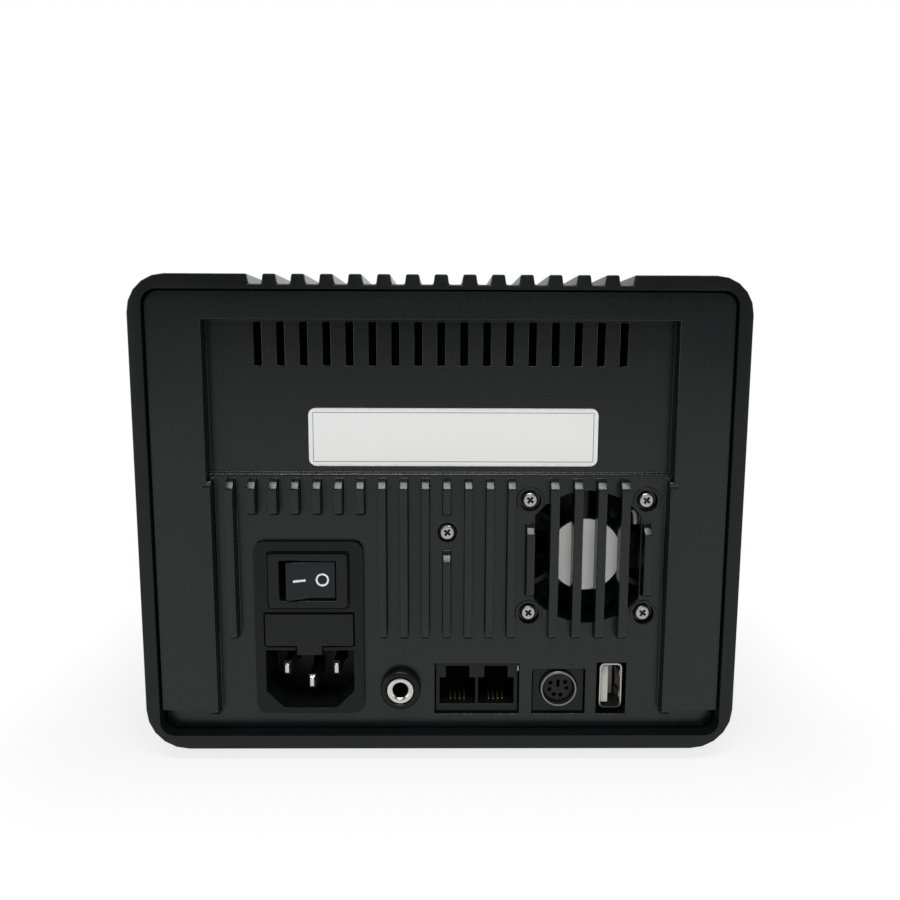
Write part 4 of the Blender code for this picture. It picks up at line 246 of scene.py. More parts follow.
# Key caps and their signs: arrow's radius, ring's two, and the bars' width, height, corner and pitch
KEYS = ("key_air", "key_down", "key_set", "key_memory", "key_up", "key_iron")
KEY_ROUND = 0.00022
ARROW = 0.0017
RING = (0.0017, 0.0012)
KEY_BAR = (0.0040, 0.00055, 0.0002)
KEY_BAR_PITCH = 0.0013

# Display: digits to a group, their width, height and stroke, the bars' thickness and corner as shares of the
# stroke, the digits' pitch, and each group's place
DIGITS = 3
DIGIT = (0.0070, 0.0150, 0.0014)
SEGMENT_SHARE = 0.9
SEGMENT_CORNER = 0.35
DIGIT_PITCH = 0.0125
GROUP_ACROSS = 0.022
GROUP_RISE = 0.004

# Fittings of the front stand this far off the bezel
SEAT_GAP = 0.0003

# Iron socket: radii, flange's thickness, thread with its crest's shares of the pitch, and contacts
IRON_BARREL = 0.0085
IRON_BORE = 0.0068
IRON_ROOT = 0.0003
IRON_FLANGE = 0.0020
IRON_TURNS = 6
IRON_PITCH = 0.0008
IRON_CREST = (0.35, 0.60)
IRON_TIP = 0.0006
IRON_CORE_ROUND = 0.00015
IRON_PIN = 0.00062
IRON_PIN_LENGTH = 0.0052
IRON_PIN_SINK = 0.0032
IRON_CIRCLE = 0.004
IRON_PINS = (-60, 15, 90, 165, 240)

# Air outlet: radii from the flange in to the bore, flange's thickness, nose, its ribs and lip, and flutes
OUTLET_FLANGE = 0.0140
OUTLET_SHANK = 0.0095
OUTLET_TAIL = 0.0072
OUTLET_BORE = 0.0065
OUTLET_TAIL_BORE = 0.0057
OUTLET_THICKNESS = 0.0030
OUTLET_SHOULDER = 0.0020
NOSE = 0.0118
NOSE_TAPER = 0.0016
NOSE_START = 0.0034
NOSE_END = 0.0008
RIBS = 4
RIB_DEPTH = 0.0005
LIP = 0.0098
MOUTH = 0.0090
FLUTES = 16
FLUTE_CIRCLE = 0.0147
FLUTE_RADIUS = 0.0013
FLUTE_DEPTH = 0.0060

# Feet: recess round the stem's screw, its depth, and the stem's radius
FOOT_RECESS = 0.0031
FOOT_RECESS_DEPTH = 0.0012
FOOT_STEM = 0.00225

CASE_LOW, CASE_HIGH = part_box("main_housing")


def station(x, y, z):
    """A place from the station's middle, rear rim and underside."""
    return Vector((x, CASE_LOW.y + y, CASE_LOW.z + z))


# Modelling


def let_go():
    """Nothing is selected, and nothing is being edited."""
    if bpy.context.mode != "OBJECT":
        bpy.ops.object.mode_set(mode="OBJECT")
    bpy.ops.object.select_all(action="DESELECT")


def take(piece):
    """Only this piece is selected and active."""
    let_go()
    piece.select_set(True)
    bpy.context.view_layer.objects.active = piece
    return piece


def placed(piece, place, turn=(0, 0, 0)):
    """Turns and moves a piece that is drawn about the origin."""
    take(piece)
    piece.rotation_euler = turn
    piece.location = place
    bpy.ops.object.transform_apply(location=True, rotation=True, scale=True)
    return piece


def started(name):
    """The primitive that was just added, with its place and turn put in its mesh."""
    piece = bpy.context.active_object
    piece.name = name
    piece.data.name = name
    bpy.ops.object.transform_apply(location=True, rotation=True, scale=True)
    return piece


def block(name, low, high):
    """A box from one corner to the other."""
    let_go()
    low, high = Vector(low), Vector(high)
    bpy.ops.mesh.primitive_cube_add(size=1, location=(low + high) / 2, scale=high - low)
    return started(name)


def face_on(name, node, grow, near, far):
    """A box over a node's outline as seen from behind, grown all round, between two depths."""
    low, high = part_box(node)
    return block(name, (low.x - grow, near, low.z - grow), (high.x + grow, far, high.z + grow))


def drum(name, middle, radius, depth, sides=32):
    """A round bar about its middle, which runs from back to front."""
    let_go()
    bpy.ops.mesh.primitive_cylinder_add(
        vertices=sides, radius=radius, depth=depth, location=middle, rotation=(math.pi / 2, 0, 0)
    )
    return started(name)


def on_axis(node, y=0.0):
    """Where the line through a node's middle, from back to front, is this far along."""
    low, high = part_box(node)
    return Vector(((low.x + high.x) / 2, y, (low.z + high.z) / 2))


def half_width(node):
    """Half of a node's width: the radius of a round one."""
    low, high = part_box(node)
    return (high.x - low.x) / 2


def spaced(count, pitch):
    """Distances of evenly spaced things from the middle of their row."""
    return [(i - (count - 1) / 2) * pitch for i in range(count)]


def edit(piece, mode="FACE"):
    """Opens a piece for editing, with nothing picked."""
    take(piece)
    bpy.ops.object.mode_set(mode="EDIT")
    bpy.ops.mesh.select_mode(type=mode)
    bpy.ops.mesh.select_all(action="DESELECT")


def pick(piece, kind, test):
    """Adds to what is picked in edit mode each face, edge or vertex that passes a test."""
    mesh = bmesh.from_edit_mesh(piece.data)
    for element in getattr(mesh, kind):
        if test(element):
            element.select_set(True)
    bmesh.update_edit_mesh(piece.data)


def thickened(*shifts):
    """Picks all of a flat piece in edit mode, draws it out by each shift in turn, and closes the edit."""
    bpy.ops.mesh.select_all(action="SELECT")
    for shift in shifts:
        bpy.ops.mesh.extrude_region_move(TRANSFORM_OT_translate={"value": shift})
    bpy.ops.mesh.select_all(action="SELECT")
    bpy.ops.mesh.normals_make_consistent(inside=False)
    let_go()


def middle_of(edge):
    """The middle of an edge."""
    return (edge.verts[0].co + edge.verts[1].co) / 2


def runs_along(edge, axis):
    """Whether an edge is parallel to an axis."""
    way = edge.verts[1].co - edge.verts[0].co
    return abs(way[axis]) > 0.999 * way.length


def round_edges(piece, test, radius, segments=3):
    """Bevels the edges that pass a test."""
    edit(piece, "EDGE")
    pick(piece, "edges", test)
    bpy.ops.mesh.bevel(offset=radius, segments=segments, affect="EDGES", clamp_overlap=True)
    let_go()


def room_at(loop):
    """How wide a bevel may grow in one face before it meets what lies beside this edge."""
    start, end = loop.vert.co, loop.link_loop_next.vert.co
    middle, way = (start + end) / 2, (end - start).normalized()
    room = 1.0
    for other in loop.face.loops:
        a, b = other.vert.co, other.link_loop_next.vert.co
        if other in (loop, loop.link_loop_next, loop.link_loop_prev):
            continue
        share = min(1.0, max(0.0, (middle - a).dot(b - a) / (b - a).length_squared))
        room = min(room, (a + (b - a) * share - middle).length)
    for other, sign in ((loop.link_loop_next, 1), (loop.link_loop_prev, -1)):
        side = other.link_loop_next.vert.co - other.vert.co
        turn = way.angle(side)
        if loop.face.normal.dot(way.cross(side)) * sign > 0 and turn > 0.01:
            room = min(room, side.length / math.tan(turn / 2), (end - start).length / math.tan(turn / 2))
    return room


def runs(edges):
    """Sharp edges grouped into runs, each of which goes on without a corner."""
    waiting, found = set(edges), []
    while waiting:
        run, open_ends = [], [waiting.pop()]
        while open_ends:
            edge = open_ends.pop()
            run.append(edge)
            for vert in edge.verts:
                way = vert.co - edge.other_vert(vert).co
                for other in vert.link_edges:
                    if other in waiting and way.angle(other.other_vert(vert).co - vert.co) < RUN_BEND:
                        waiting.remove(other)
                        open_ends.append(other)
        found.append(run)
    return found


def soften(piece, radius, angle=40, segments=2):
    """Rounds over every sharp edge, and each run of edges less where there is little room beside it."""
    edit(piece, "EDGE")
    mesh = bmesh.from_edit_mesh(piece.data)
    share = mesh.edges.layers.float.new("bevel_weight_edge")
    sharp = [e for e in mesh.edges if e.is_manifold and e.calc_face_angle() > math.radians(angle)]
    for run in runs(sharp):
        room = min(room_at(loop) for edge in run for loop in edge.link_loops)
        for edge in run:
            edge[share] = min(1.0, ROOM_SHARE * room / radius)
    bmesh.update_edit_mesh(piece.data)
    bpy.ops.mesh.select_all(action="SELECT")
    bpy.ops.mesh.quads_convert_to_tris(quad_method="BEAUTY", ngon_method="BEAUTY")
    take(piece)
    edge = piece.modifiers.new("edge", "BEVEL")
    edge.limit_method = "WEIGHT"
    edge.width = radius
    edge.segments = segments
    edge.use_clamp_overlap = False
    edge.loop_slide = False
    bpy.ops.object.modifier_apply(modifier=edge.name)


def carve(piece, tool, operation="DIFFERENCE"):
    """Cuts a tool out of a piece, or joins it on, and throws the tool away."""
    take(piece)
    change = piece.modifiers.new("carve", "BOOLEAN")
    change.operation = operation
    change.solver = "EXACT"
    change.object = tool
    bpy.ops.object.modifier_apply(modifier=change.name)
    bpy.data.objects.remove(tool)


def turned(name, profile, centre, axis="Y", steps=48):
    """A profile of (radius, distance) pairs, extruded from point to point and spun about an axis."""
    let_go()
    bpy.ops.mesh.primitive_plane_add(size=0.001)
    piece = started(name)
    edit(piece, "VERT")
    bpy.ops.mesh.select_all(action="SELECT")
    bpy.ops.mesh.merge(type="CENTER")
    bpy.ops.transform.translate(value=(*profile[0], 0))
    for (radius, along), (wider, further) in zip(profile, profile[1:]):
        step = (wider - radius, further - along, 0)
        bpy.ops.mesh.extrude_vertices_move(TRANSFORM_OT_translate={"value": step})
    bpy.ops.mesh.select_all(action="SELECT")
    bpy.ops.mesh.spin(steps=steps, angle=math.tau, center=(0, 0, 0), axis=(0, 1, 0))
    bpy.ops.mesh.select_all(action="SELECT")
    bpy.ops.mesh.remove_doubles(threshold=1e-6)
    bpy.ops.mesh.normals_make_consistent(inside=False)
    return placed(piece, centre, {"Y": (0, 0, 0), "Z": (math.pi / 2, 0, 0)}[axis])


def copy_of(piece, name, shift):
    """A copy with its own mesh, moved by a shift."""
    take(piece)
    bpy.ops.object.duplicate(linked=False)
    return placed(started(name), shift)


def joined(pieces):
    """Several pieces as one, under the first one's name."""
    take(pieces[0])
    for piece in pieces[1:]:
        piece.select_set(True)
    bpy.ops.object.join()
    return pieces[0]


def round_places(centre, radius, degrees, deep):
    """Places on an upright circle about a centre, moved towards the front."""
    turns = [math.radians(angle) for angle in degrees]
    return [centre + Vector((radius * math.cos(t), deep, radius * math.sin(t))) for t in turns]


def copies(model, kind, node):
    """The model of a node's first copy, and a copy of it in the place of each of the node's other three."""
    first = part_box(f"{node}_1")[0]
    others = [(number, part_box(f"{node}_{number}")[0] - first) for number in (2, 3, 4)]
    return [model] + [copy_of(model, f"{kind}_{number}", shift) for number, shift in others]


def laid(piece, place, facing):
    """Turns a flat piece, drawn about the origin and facing up, to lie on a surface."""
    take(piece)
    piece.matrix_world = Matrix.Translation(place) @ facing.to_track_quat("Z", "Y").to_matrix().to_4x4()
    bpy.ops.object.transform_apply(location=True, rotation=True, scale=True)
    return piece


def met_from_behind(piece, x, z):
    """Where a level line from behind first meets a piece, and which way its surface faces there."""
    bpy.context.view_layer.update()
    _, place, normal, _ = piece.ray_cast(station(x, -1, z), Vector((0, 1, 0)))
    return place, normal


def dress(piece, finish, body="station", stands_for=()):
    """Gives a piece its finish and shading, and the CAD body that it moves with."""
    take(piece)
    piece.data.materials.clear()
    piece.data.materials.append(finish.material)
    bpy.ops.object.shade_smooth_by_angle(angle=SHARP)
    even = piece.modifiers.new("even", "WEIGHTED_NORMAL")
    even.keep_sharp = True
    bpy.ops.object.modifier_apply(modifier=even.name)
    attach(piece, body)
    if stands_for:
        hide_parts(*stands_for)
    return piece


def dress_four(model, kind, node, slot):
    """Puts a model of a node's first copy in the place of all four, with the finish of their slot."""
    for number, piece in enumerate(copies(model, kind, node), 1):
        dress(piece, FINISHES[slot], stands_for=(f"{node}_{number}",))


def refined(node, name, finish, radius, segments=2, first=None, angle=40):
    """A merged copy of a CAD node with its sharp edges rounded over, which stands for it."""
    let_go()
    piece = bpy.data.objects.new(name, NODES[node].data.copy())
    bpy.context.scene.collection.objects.link(piece)
    take(piece)
    if piece.data.has_custom_normals:
        bpy.ops.mesh.customdata_custom_splitnormals_clear()
    bpy.ops.object.mode_set(mode="EDIT")
    bpy.ops.mesh.select_all(action="SELECT")
    bpy.ops.mesh.remove_doubles(threshold=1e-6)
    bpy.ops.mesh.dissolve_limited(angle_limit=math.radians(0.5))
    let_go()
    if first:
        first(piece)
    soften(piece, radius, angle, segments)
    return dress(piece, finish, NODES[node]["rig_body"], (node,))


# Shader maths


class Wire:
    """A number on its way through a material's nodes, which can be used in sums."""

    def __init__(self, finish, socket):
        self.finish = finish
        self.socket = socket

    def sum(self, operation, *values):
        """One Math node on these values."""
        return self.finish.node("ShaderNodeMath", {"operation": operation}, dict(enumerate(values)))

    def __add__(self, other):
        return self.sum("ADD", self, other)

    def __radd__(self, other):
        return self.sum("ADD", other, self)

    def __sub__(self, other):
        return self.sum("SUBTRACT", self, other)

    def __rsub__(self, other):
        return self.sum("SUBTRACT", other, self)

    def __mul__(self, other):
        return self.sum("MULTIPLY", self, other)

    def __rmul__(self, other):
        return self.sum("MULTIPLY", other, self)

    def __truediv__(self, other):
        return self.sum("DIVIDE", self, other)

    def __gt__(self, other):
        return self.sum("GREATER_THAN", self, other)

    def __lt__(self, other):
        return self.sum("LESS_THAN", self, other)

    def size(self):
        """The value without its sign."""
        return self.sum("ABSOLUTE", self)

    def fraction(self):
        """What is left over the whole number below."""
        return self.sum("FRACT", self)

    def or_more(self, other):
        """The larger of two values."""
        return self.sum("MAXIMUM", self, other)

    def wave(self):
        """The sine of the value."""
        return self.sum("SINE", self)

    def steep(self, low, high):
        """Nought below low, one above high, and a straight ramp between them."""
        values = {"Value": self, "From Min": low, "From Max": high, "To Min": 0.0, "To Max": 1.0}
        return self.finish.node("ShaderNodeMapRange", {"clamp": True}, values, "Result")


class Finish:
    """One material: its plain values, and the nodes that vary them over the surface."""

    def __init__(self, name, colour, roughness, metallic=0.0, **plain):
        self.material = bpy.data.materials.new(name)
        self.material.use_nodes = True
        self.tree = self.material.node_tree
        self.shader = self.tree.nodes["Principled BSDF"]
        self.shader.inputs["Base Color"].default_value = (*colour, 1)
        self.shader.inputs["Roughness"].default_value = roughness
        self.shader.inputs["Metallic"].default_value = metallic
        for socket, value in plain.items():
            self.shader.inputs[socket.replace("_", " ")].default_value = value
        self.place = self.node("ShaderNodeTexCoord", output="Object")

    def node(self, kind, settings=None, sockets=None, output=0):
        """Adds a node with its settings, then the values or links of its sockets, and gives one output."""
        made = self.tree.nodes.new(kind)
        for setting, value in (settings or {}).items():
            setattr(made, setting, value)
        for socket, value in (sockets or {}).items():
            if isinstance(value, Wire):
                self.tree.links.new(value.socket, made.inputs[socket])
            else:
                made.inputs[socket].default_value = value
        return Wire(self, made.outputs[output])

    def feed(self, socket, value):
        """Joins a value to the shader."""
        self.tree.links.new(value.socket, self.shader.inputs[socket])

    def along(self, axis):
        """How far a point is along X, Y or Z."""
        return self.node("ShaderNodeSeparateXYZ", sockets={"Vector": self.place}, output=axis)

    def stretched(self, x, y, z):
        """The place with each axis drawn out or squeezed."""
        return self.node("ShaderNodeMapping", sockets={"Vector": self.place, "Scale": (x, y, z)})

    def clouds(self, scale, detail=2.0, place=None):
        """Soft noise from nought to one."""
        sockets = {"Vector": place or self.place, "Scale": scale, "Detail": detail}
        return self.node("ShaderNodeTexNoise", sockets=sockets, output="Fac")

    def pebbles(self, scale):
        """Rounded cells: distance from each one's middle."""
        sockets = {"Vector": self.place, "Scale": scale}
        return self.node("ShaderNodeTexVoronoi", sockets=sockets, output="Distance")

    def blend(self, share, first, second):
        """A colour between two others."""
        sockets = {0: share}
        for index, colour in ((6, first), (7, second)):
            sockets[index] = colour if isinstance(colour, Wire) else (*colour, 1)
        return self.node("ShaderNodeMix", {"data_type": "RGBA"}, sockets, 2)

    def vector(self, operation, first, second=(0, 0, 0)):
        """One Vector Math node on two vectors."""
        return self.node("ShaderNodeVectorMath", {"operation": operation}, {0: first, 1: second})

    def emboss(self, height, depth):
        """Raises the surface by a height from nought to one, times a real depth."""
        sockets = {"Height": height, "Distance": depth, "Strength": 1.0}
        self.feed("Normal", self.node("ShaderNodeBump", sockets=sockets, output="Normal"))


def shade(colour, share):
    """A colour made darker or lighter by a share."""
    return tuple(min(1.0, part * share) for part in colour)


def moulded(name, colour, roughness, grain=0.000022, cell=3600.0, **plain):
    """Spark-textured moulding: a fine pebble grain, slow changes of shade, and a little settled dust."""
    finish = Finish(name, colour, roughness, **plain)
    pebble = finish.pebbles(cell)
    fine = finish.clouds(cell * 1.7, 3.0)
    slow = finish.clouds(28.0, 4.0)
    scuff = finish.clouds(260.0, 5.0, finish.stretched(1.0, 1.0, 0.35)).steep(0.60, 0.80)
    tone = finish.blend(slow.steep(0.3, 0.7), shade(colour, 0.90), shade(colour, 1.12))
    finish.feed("Base Color", finish.blend(scuff * 0.10, tone, shade(colour, 3.0)))
    finish.feed("Roughness", roughness - 0.05 + slow * 0.07 + pebble * 0.06)
    finish.emboss(pebble * 0.7 + fine * 0.5, grain)
    return finish


def smooth_moulding(name, colour, roughness, **plain):
    """Polished moulding of fittings: faint flow lines and fingertip haze in the gloss."""
    finish = Finish(name, colour, roughness, **plain)
    haze = finish.clouds(90.0, 5.0)
    flow = finish.clouds(500.0, 2.0, finish.stretched(1.0, 0.25, 1.0))
    finish.feed("Base Color", finish.blend(haze, shade(colour, 0.85), shade(colour, 1.25)))
    finish.feed("Roughness", roughness - 0.06 + haze * 0.12 + flow * 0.04)
    finish.emboss(flow, 0.000006)
    return finish


def plated(name, colour, roughness):
    """Plated metal: thin scratches one way, clouded plating, and a darker tone in the clouds."""
    finish = Finish(name, colour, roughness, 1.0)
    lines = finish.clouds(5200.0, 2.0, finish.stretched(1.0, 1.0, 0.06))
    cloud = finish.clouds(160.0, 4.0)
    finish.feed("Base Color", finish.blend(cloud.steep(0.35, 0.75), colour, shade(colour, 0.82)))
    finish.feed("Roughness", roughness - 0.04 + cloud * 0.10 + lines * 0.08)
    finish.emboss(lines, 0.000004)
    return finish


def shade_painted_plate(name, colour, roughness, axis, bright, dark, least):
    """Plated metal painted darker along an axis, as shade deepens inside a socket: painted shade; it also
    grows rougher there.
    """
    finish = Finish(name, colour, roughness, 1.0)
    share = finish.along(axis).steep(min(bright, dark), max(bright, dark))
    if dark < bright:
        share = 1 - share
    cloud = finish.clouds(240.0, 4.0)
    plate = finish.blend(cloud.steep(0.35, 0.75), colour, shade(colour, 0.85))
    finish.feed("Base Color", finish.blend(share, plate, shade(colour, least)))
    finish.feed("Roughness", roughness + cloud * 0.06 + share * 0.3)
    finish.emboss(finish.clouds(5200.0, 2.0), 0.000003)
    return finish


def rubber(name, colour, roughness=0.85):
    """Matt rubber with a chalky bloom and a tacky grain."""
    finish = Finish(name, colour, roughness)
    bloom = finish.clouds(120.0, 5.0)
    finish.feed("Base Color", finish.blend(bloom.steep(0.45, 0.8), colour, shade(colour, 2.2)))
    finish.feed("Roughness", roughness - 0.08 + bloom * 0.12)
    finish.emboss(finish.clouds(2600.0, 4.0), 0.00003)
    return finish


def label_paper():
    """White vinyl label with a thin printed frame and nothing in it."""
    finish = Finish("label_paper", (0.80, 0.80, 0.79), 0.42, Coat_Weight=0.15, Coat_Roughness=0.25)
    middle = (sum(LABEL_SPAN) / 2, CASE_LOW.z + sum(LABEL_RISE) / 2)
    inset, line = LABEL_FRAME
    edges = []
    for axis, centre, span in (("X", middle[0], LABEL_SPAN), ("Z", middle[1], LABEL_RISE)):
        half = (span[1] - span[0]) / 2 - inset
        edges.append((finish.along(axis) - centre).size() / half)
    out = edges[0].or_more(edges[1])
    short = (LABEL_RISE[1] - LABEL_RISE[0]) / 2 - inset
    long = (LABEL_SPAN[1] - LABEL_SPAN[0]) / 2 - inset
    across = (edges[0] > 1 - line / long) * (edges[0] < 1.0) * (edges[1] < 1.0)
    upright = (edges[1] > 1 - line / short) * (edges[1] < 1.0) * (edges[0] < 1.0)
    printed = across.or_more(upright)
    fibres = finish.clouds(1500.0, 4.0)
    paper = finish.blend(fibres, (0.76, 0.765, 0.76), (0.83, 0.83, 0.82))
    # Darker brownish patches towards the label's edges, outside its printed frame
    patchy = finish.blend(out.steep(1.04, 1.16) * finish.clouds(500.0, 3.0), paper, (0.52, 0.50, 0.46))
    finish.feed("Base Color", finish.blend(printed * 0.75, patchy, (0.06, 0.06, 0.065)))
    finish.feed("Roughness", 0.36 + fibres * 0.14)
    finish.emboss(fibres, 0.000005)
    return finish


def ink(name, colour, roughness=0.45):
    """Screen-printed ink, a little uneven at small scale."""
    finish = Finish(name, colour, roughness)
    patchy = finish.clouds(1800.0, 4.0)
    finish.feed("Base Color", finish.blend(patchy.steep(0.55, 0.8) * 0.4, colour, shade(colour, 0.6)))
    finish.feed("Roughness", roughness - 0.05 + patchy * 0.1)
    finish.emboss(patchy, 0.000004)
    return finish


def circuit_board(name):
    """Solder mask over copper tracks: straight runs that step sideways, with pale pads."""
    finish = Finish(name, (0.02, 0.12, 0.05), 0.35, Coat_Weight=0.3)
    blocks = finish.node(
        "ShaderNodeTexVoronoi", {"distance": "CHEBYCHEV", "feature": "F1"},
        {"Vector": finish.place, "Scale": 260.0}, "Distance",
    )
    tracks = (blocks * 26.0).wave().steep(0.2, 0.5)
    pads = blocks < 0.09
    mask = finish.blend(tracks, (0.010, 0.075, 0.030), (0.028, 0.155, 0.065))
    finish.feed("Base Color", finish.blend(pads, mask, (0.62, 0.60, 0.52)))
    finish.feed("Roughness", 0.42 - pads * 0.12)
    finish.emboss(tracks, 0.00002)
    return finish


def laminations(name):
    """Varnished core plates stacked across the transformer."""
    finish = Finish(name, (0.16, 0.17, 0.18), 0.45, 0.8)
    plates = (finish.along("X") * (math.tau / 0.0005)).wave()
    rust = finish.clouds(220.0, 6.0).steep(0.58, 0.75)
    steel = finish.blend(plates.steep(-0.6, 0.9), (0.05, 0.05, 0.055), (0.22, 0.23, 0.24))
    finish.feed("Base Color", finish.blend(rust * 0.35, steel, (0.16, 0.07, 0.03)))
    finish.feed("Roughness", 0.40 + rust * 0.3)
    finish.feed("Metallic", 0.85 - rust * 0.5)
    finish.emboss(plates, 0.00005)
    return finish


def winding_tape(name):
    """Overlapped turns of film tape round the coil."""
    finish = Finish(name, (0.65, 0.48, 0.10), 0.30, Coat_Weight=0.3)
    turn = (finish.along("Z") * (1 / 0.0060)).fraction()
    crease = finish.clouds(420.0, 4.0, finish.stretched(1.0, 1.0, 4.0))
    finish.feed("Base Color", finish.blend(turn.steep(0.0, 0.25), (0.42, 0.29, 0.05), (0.66, 0.49, 0.11)))
    finish.feed("Roughness", 0.24 + crease * 0.2)
    finish.emboss(turn * 0.6 + crease * 0.4, 0.00012)
    return finish


def brushed(name, colour, roughness, axis):
    """Extruded or turned aluminium with draw lines along one axis."""
    finish = Finish(name, colour, roughness, 1.0)
    scale = [1.0, 1.0, 1.0]
    scale["XYZ".index(axis)] = 0.01
    lines = finish.clouds(4200.0, 3.0, finish.stretched(*scale))
    cloud = finish.clouds(70.0, 3.0)
    finish.feed("Base Color", finish.blend(cloud, shade(colour, 0.9), colour))
    finish.feed("Roughness", roughness - 0.05 + lines * 0.14)
    finish.emboss(lines, 0.000010)
    return finish


def pane_finish(name):
    """Smoked acrylic that lets a little of the display through, with wiping marks in its gloss."""
    finish = Finish(name, (0.010, 0.011, 0.013), 0.07, Coat_Weight=0.6, Coat_Roughness=0.04)
    wipe = finish.clouds(140.0, 4.0, finish.stretched(0.3, 1.0, 1.6))
    finish.feed("Base Color", finish.blend(wipe, (0.008, 0.009, 0.010), (0.013, 0.014, 0.016)))
    finish.feed("Roughness", 0.05 + wipe * 0.08)
    finish.feed("Alpha", 0.58 + wipe * 0.06)
    return finish


SATIN = {"Specular_IOR_Level": 0.36}
FLAT = {"Specular_IOR_Level": 0.20}
CASE_BLACK = (0.0040, 0.0051, 0.0053)
FITTING_BLACK = (0.0034, 0.0038, 0.0040)
FINISHES = {
    "moulded_black": moulded("case_moulding", CASE_BLACK, 0.31, grain=0.000010, Specular_IOR_Level=0.24),
    "panel_black": moulded("panel_moulding", CASE_BLACK, 0.25, grain=0.000006, **SATIN),
    "fitting_black": smooth_moulding("fitting_plastic", FITTING_BLACK, 0.32, Specular_IOR_Level=0.24),
    "key_grey": moulded("key_plastic", (0.12, 0.125, 0.13), 0.48, grain=0.000012, cell=5200.0),
    "smoked_pane": pane_finish("smoked_acrylic"),
    "display_glass": smooth_moulding("display_face", (0.022, 0.030, 0.034), 0.16),
    "rubber": rubber("foot_rubber", (0.014, 0.014, 0.014)),
    "zinc_steel": plated("zinc_plate", (0.44, 0.44, 0.43), 0.28),
    "nickel": plated("nickel_plate", (0.52, 0.51, 0.49), 0.24),
    "board_green": circuit_board("board"),
    "lamination": laminations("core_plates"),
    "winding_tape": winding_tape("coil_tape"),
    "aluminium": brushed("drawn_aluminium", (0.66, 0.67, 0.68), 0.34, "Z"),
    "blower_grey": moulded("blower_moulding", (0.050, 0.050, 0.055), 0.55),
    "hose_black": rubber("hose_rubber", (0.018, 0.018, 0.018), 0.70),
}
LABEL = label_paper()
STICKER = ink("sticker_paper", (0.90, 0.90, 0.88), 0.35)
WHITE_INK = ink("white_ink", (0.82, 0.83, 0.84))
SEGMENTS = ink("display_segments", (0.15, 0.17, 0.175), 0.3)
GOLD = plated("gold_flash", (0.17, 0.11, 0.045), 0.36)
TIN = plated("dull_tin", (0.22, 0.22, 0.22), 0.36)
# Bush and blades: painted shade, darker further into the earth socket and the inlet's recess
BUSH_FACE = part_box("earth_sleeve")[0].y
BUSH = shade_painted_plate("bush_plate", (0.60, 0.59, 0.56), 0.22, "Y", BUSH_FACE + 0.0003, BUSH_FACE + 0.0014, 0.02)
BLADE_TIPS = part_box("pin_line")[0].y
BLADE = shade_painted_plate("blade_plate", (0.62, 0.60, 0.56), 0.24, "Y", BLADE_TIPS + 0.0002, BLADE_TIPS + 0.0012, 0.10)
EARTH_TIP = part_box("pin_earth")[0].y
EARTH_BLADE = shade_painted_plate(
    "earth_blade_plate", (0.62, 0.60, 0.56), 0.24, "Y", EARTH_TIP + 0.0002, EARTH_TIP + 0.0012, 0.10
)
# Flat socket's shell: painted shade, darker towards its bottom
USB_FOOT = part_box("usb_shell")[0].z
SCREEN = shade_painted_plate("screen_plate", (0.47, 0.46, 0.45), 0.22, "Z", USB_FOOT + 0.0024, USB_FOOT + 0.0004, 0.12)
# Ink of the painted shade in the screws' cross recesses
CROSS_SHADE = ink("painted_shade_ink", (0.012, 0.012, 0.012), 0.7)
INLET_BLACK = smooth_moulding("inlet_plastic", FITTING_BLACK, 0.36, **FLAT)
# Matt black for the gasket, and for the blocks of painted shade in the twin jack
MATT_BLACK = smooth_moulding("matt_black_plastic", (0.0030, 0.0030, 0.0030), 0.8, Specular_IOR_Level=0.06)
ROCKER_BLACK = smooth_moulding("rocker_plastic", (0.0045, 0.0068, 0.0095), 0.28, Specular_IOR_Level=0.26)
LEAD_WHITE = smooth_moulding("lead_sleeve", (0.80, 0.80, 0.77), 0.45)
WHITE_NYLON = smooth_moulding("white_nylon", (0.46, 0.46, 0.43), 0.40)


def finish_of(node):
    """The finish that belongs to a CAD node's slot."""
    return FINISHES[SLOT_OF[node]]


# Case


EASED = (
    # CAD node, piece, and the radius of its edges
    ("main_housing", "case_sleeve", CASE_ROUND),
    ("front_bezel", "front_frame", 0.00035),
    ("base_plate", "floor_plate", FINE_ROUND),
    ("rear_brace", "panel_brace", FINE_ROUND),
    ("fuse_drawer", "fuse_holder", 0.00022),
    ("switch_frame", "switch_surround", 0.00035),
    ("fan_frame", "fan_housing", 0.00020),
    ("fan_rotor", "fan_wheel_blades", 0.00008),
    ("earth_nut", "earth_lock_nut", 0.00030),
    ("iron_socket_nut", "iron_lock_nut", 0.00030),
    ("gland_nut", "outlet_lock_nut", 0.00030),
    ("display_pane", "window_pane", 0.00020),
    ("display_module", "display_block", 0.00020),
    ("interface_board", "socket_board", 0.00010),
    ("control_board", "key_board", 0.00010),
    ("power_board", "supply_board", 0.00010),
    ("heatsink", "cooling_comb", 0.00015),
    ("transformer_core", "core_stack", 0.00015),
    ("transformer_coil", "coil_winding", 0.00040),
    ("transformer_strap", "core_clamp", 0.00015),
    ("blower_housing", "blower_scroll", 0.00030),
    ("blower_impeller", "blower_blades", 0.00010),
    ("blower_motor", "blower_drive", 0.00030),
    ("air_duct", "outlet_hose", 0.00030),
    ("fuse", "glass_fuse", 0.00020),
)


def case():
    """The pieces that only need their edges eased, then the back panel and the inlet."""
    for node, name, radius in EASED:
        refined(node, name, finish_of(node), radius)
    panel = finish_of("rear_panel")
    refined("rear_panel", "back_panel", panel, PANEL_ROUND, first=panel_edges, angle=PANEL_ANGLE)
    refined("inlet_housing", "inlet_body", INLET_BLACK, INLET_ROUND, first=switch_groove)
    for node, name, finish in (
        ("pin_line", "line_blade", BLADE),
        ("pin_neutral", "neutral_blade", BLADE),
        ("pin_earth", "earth_blade", EARTH_BLADE),
    ):
        refined(node, name, finish, BLADE_ROUND)


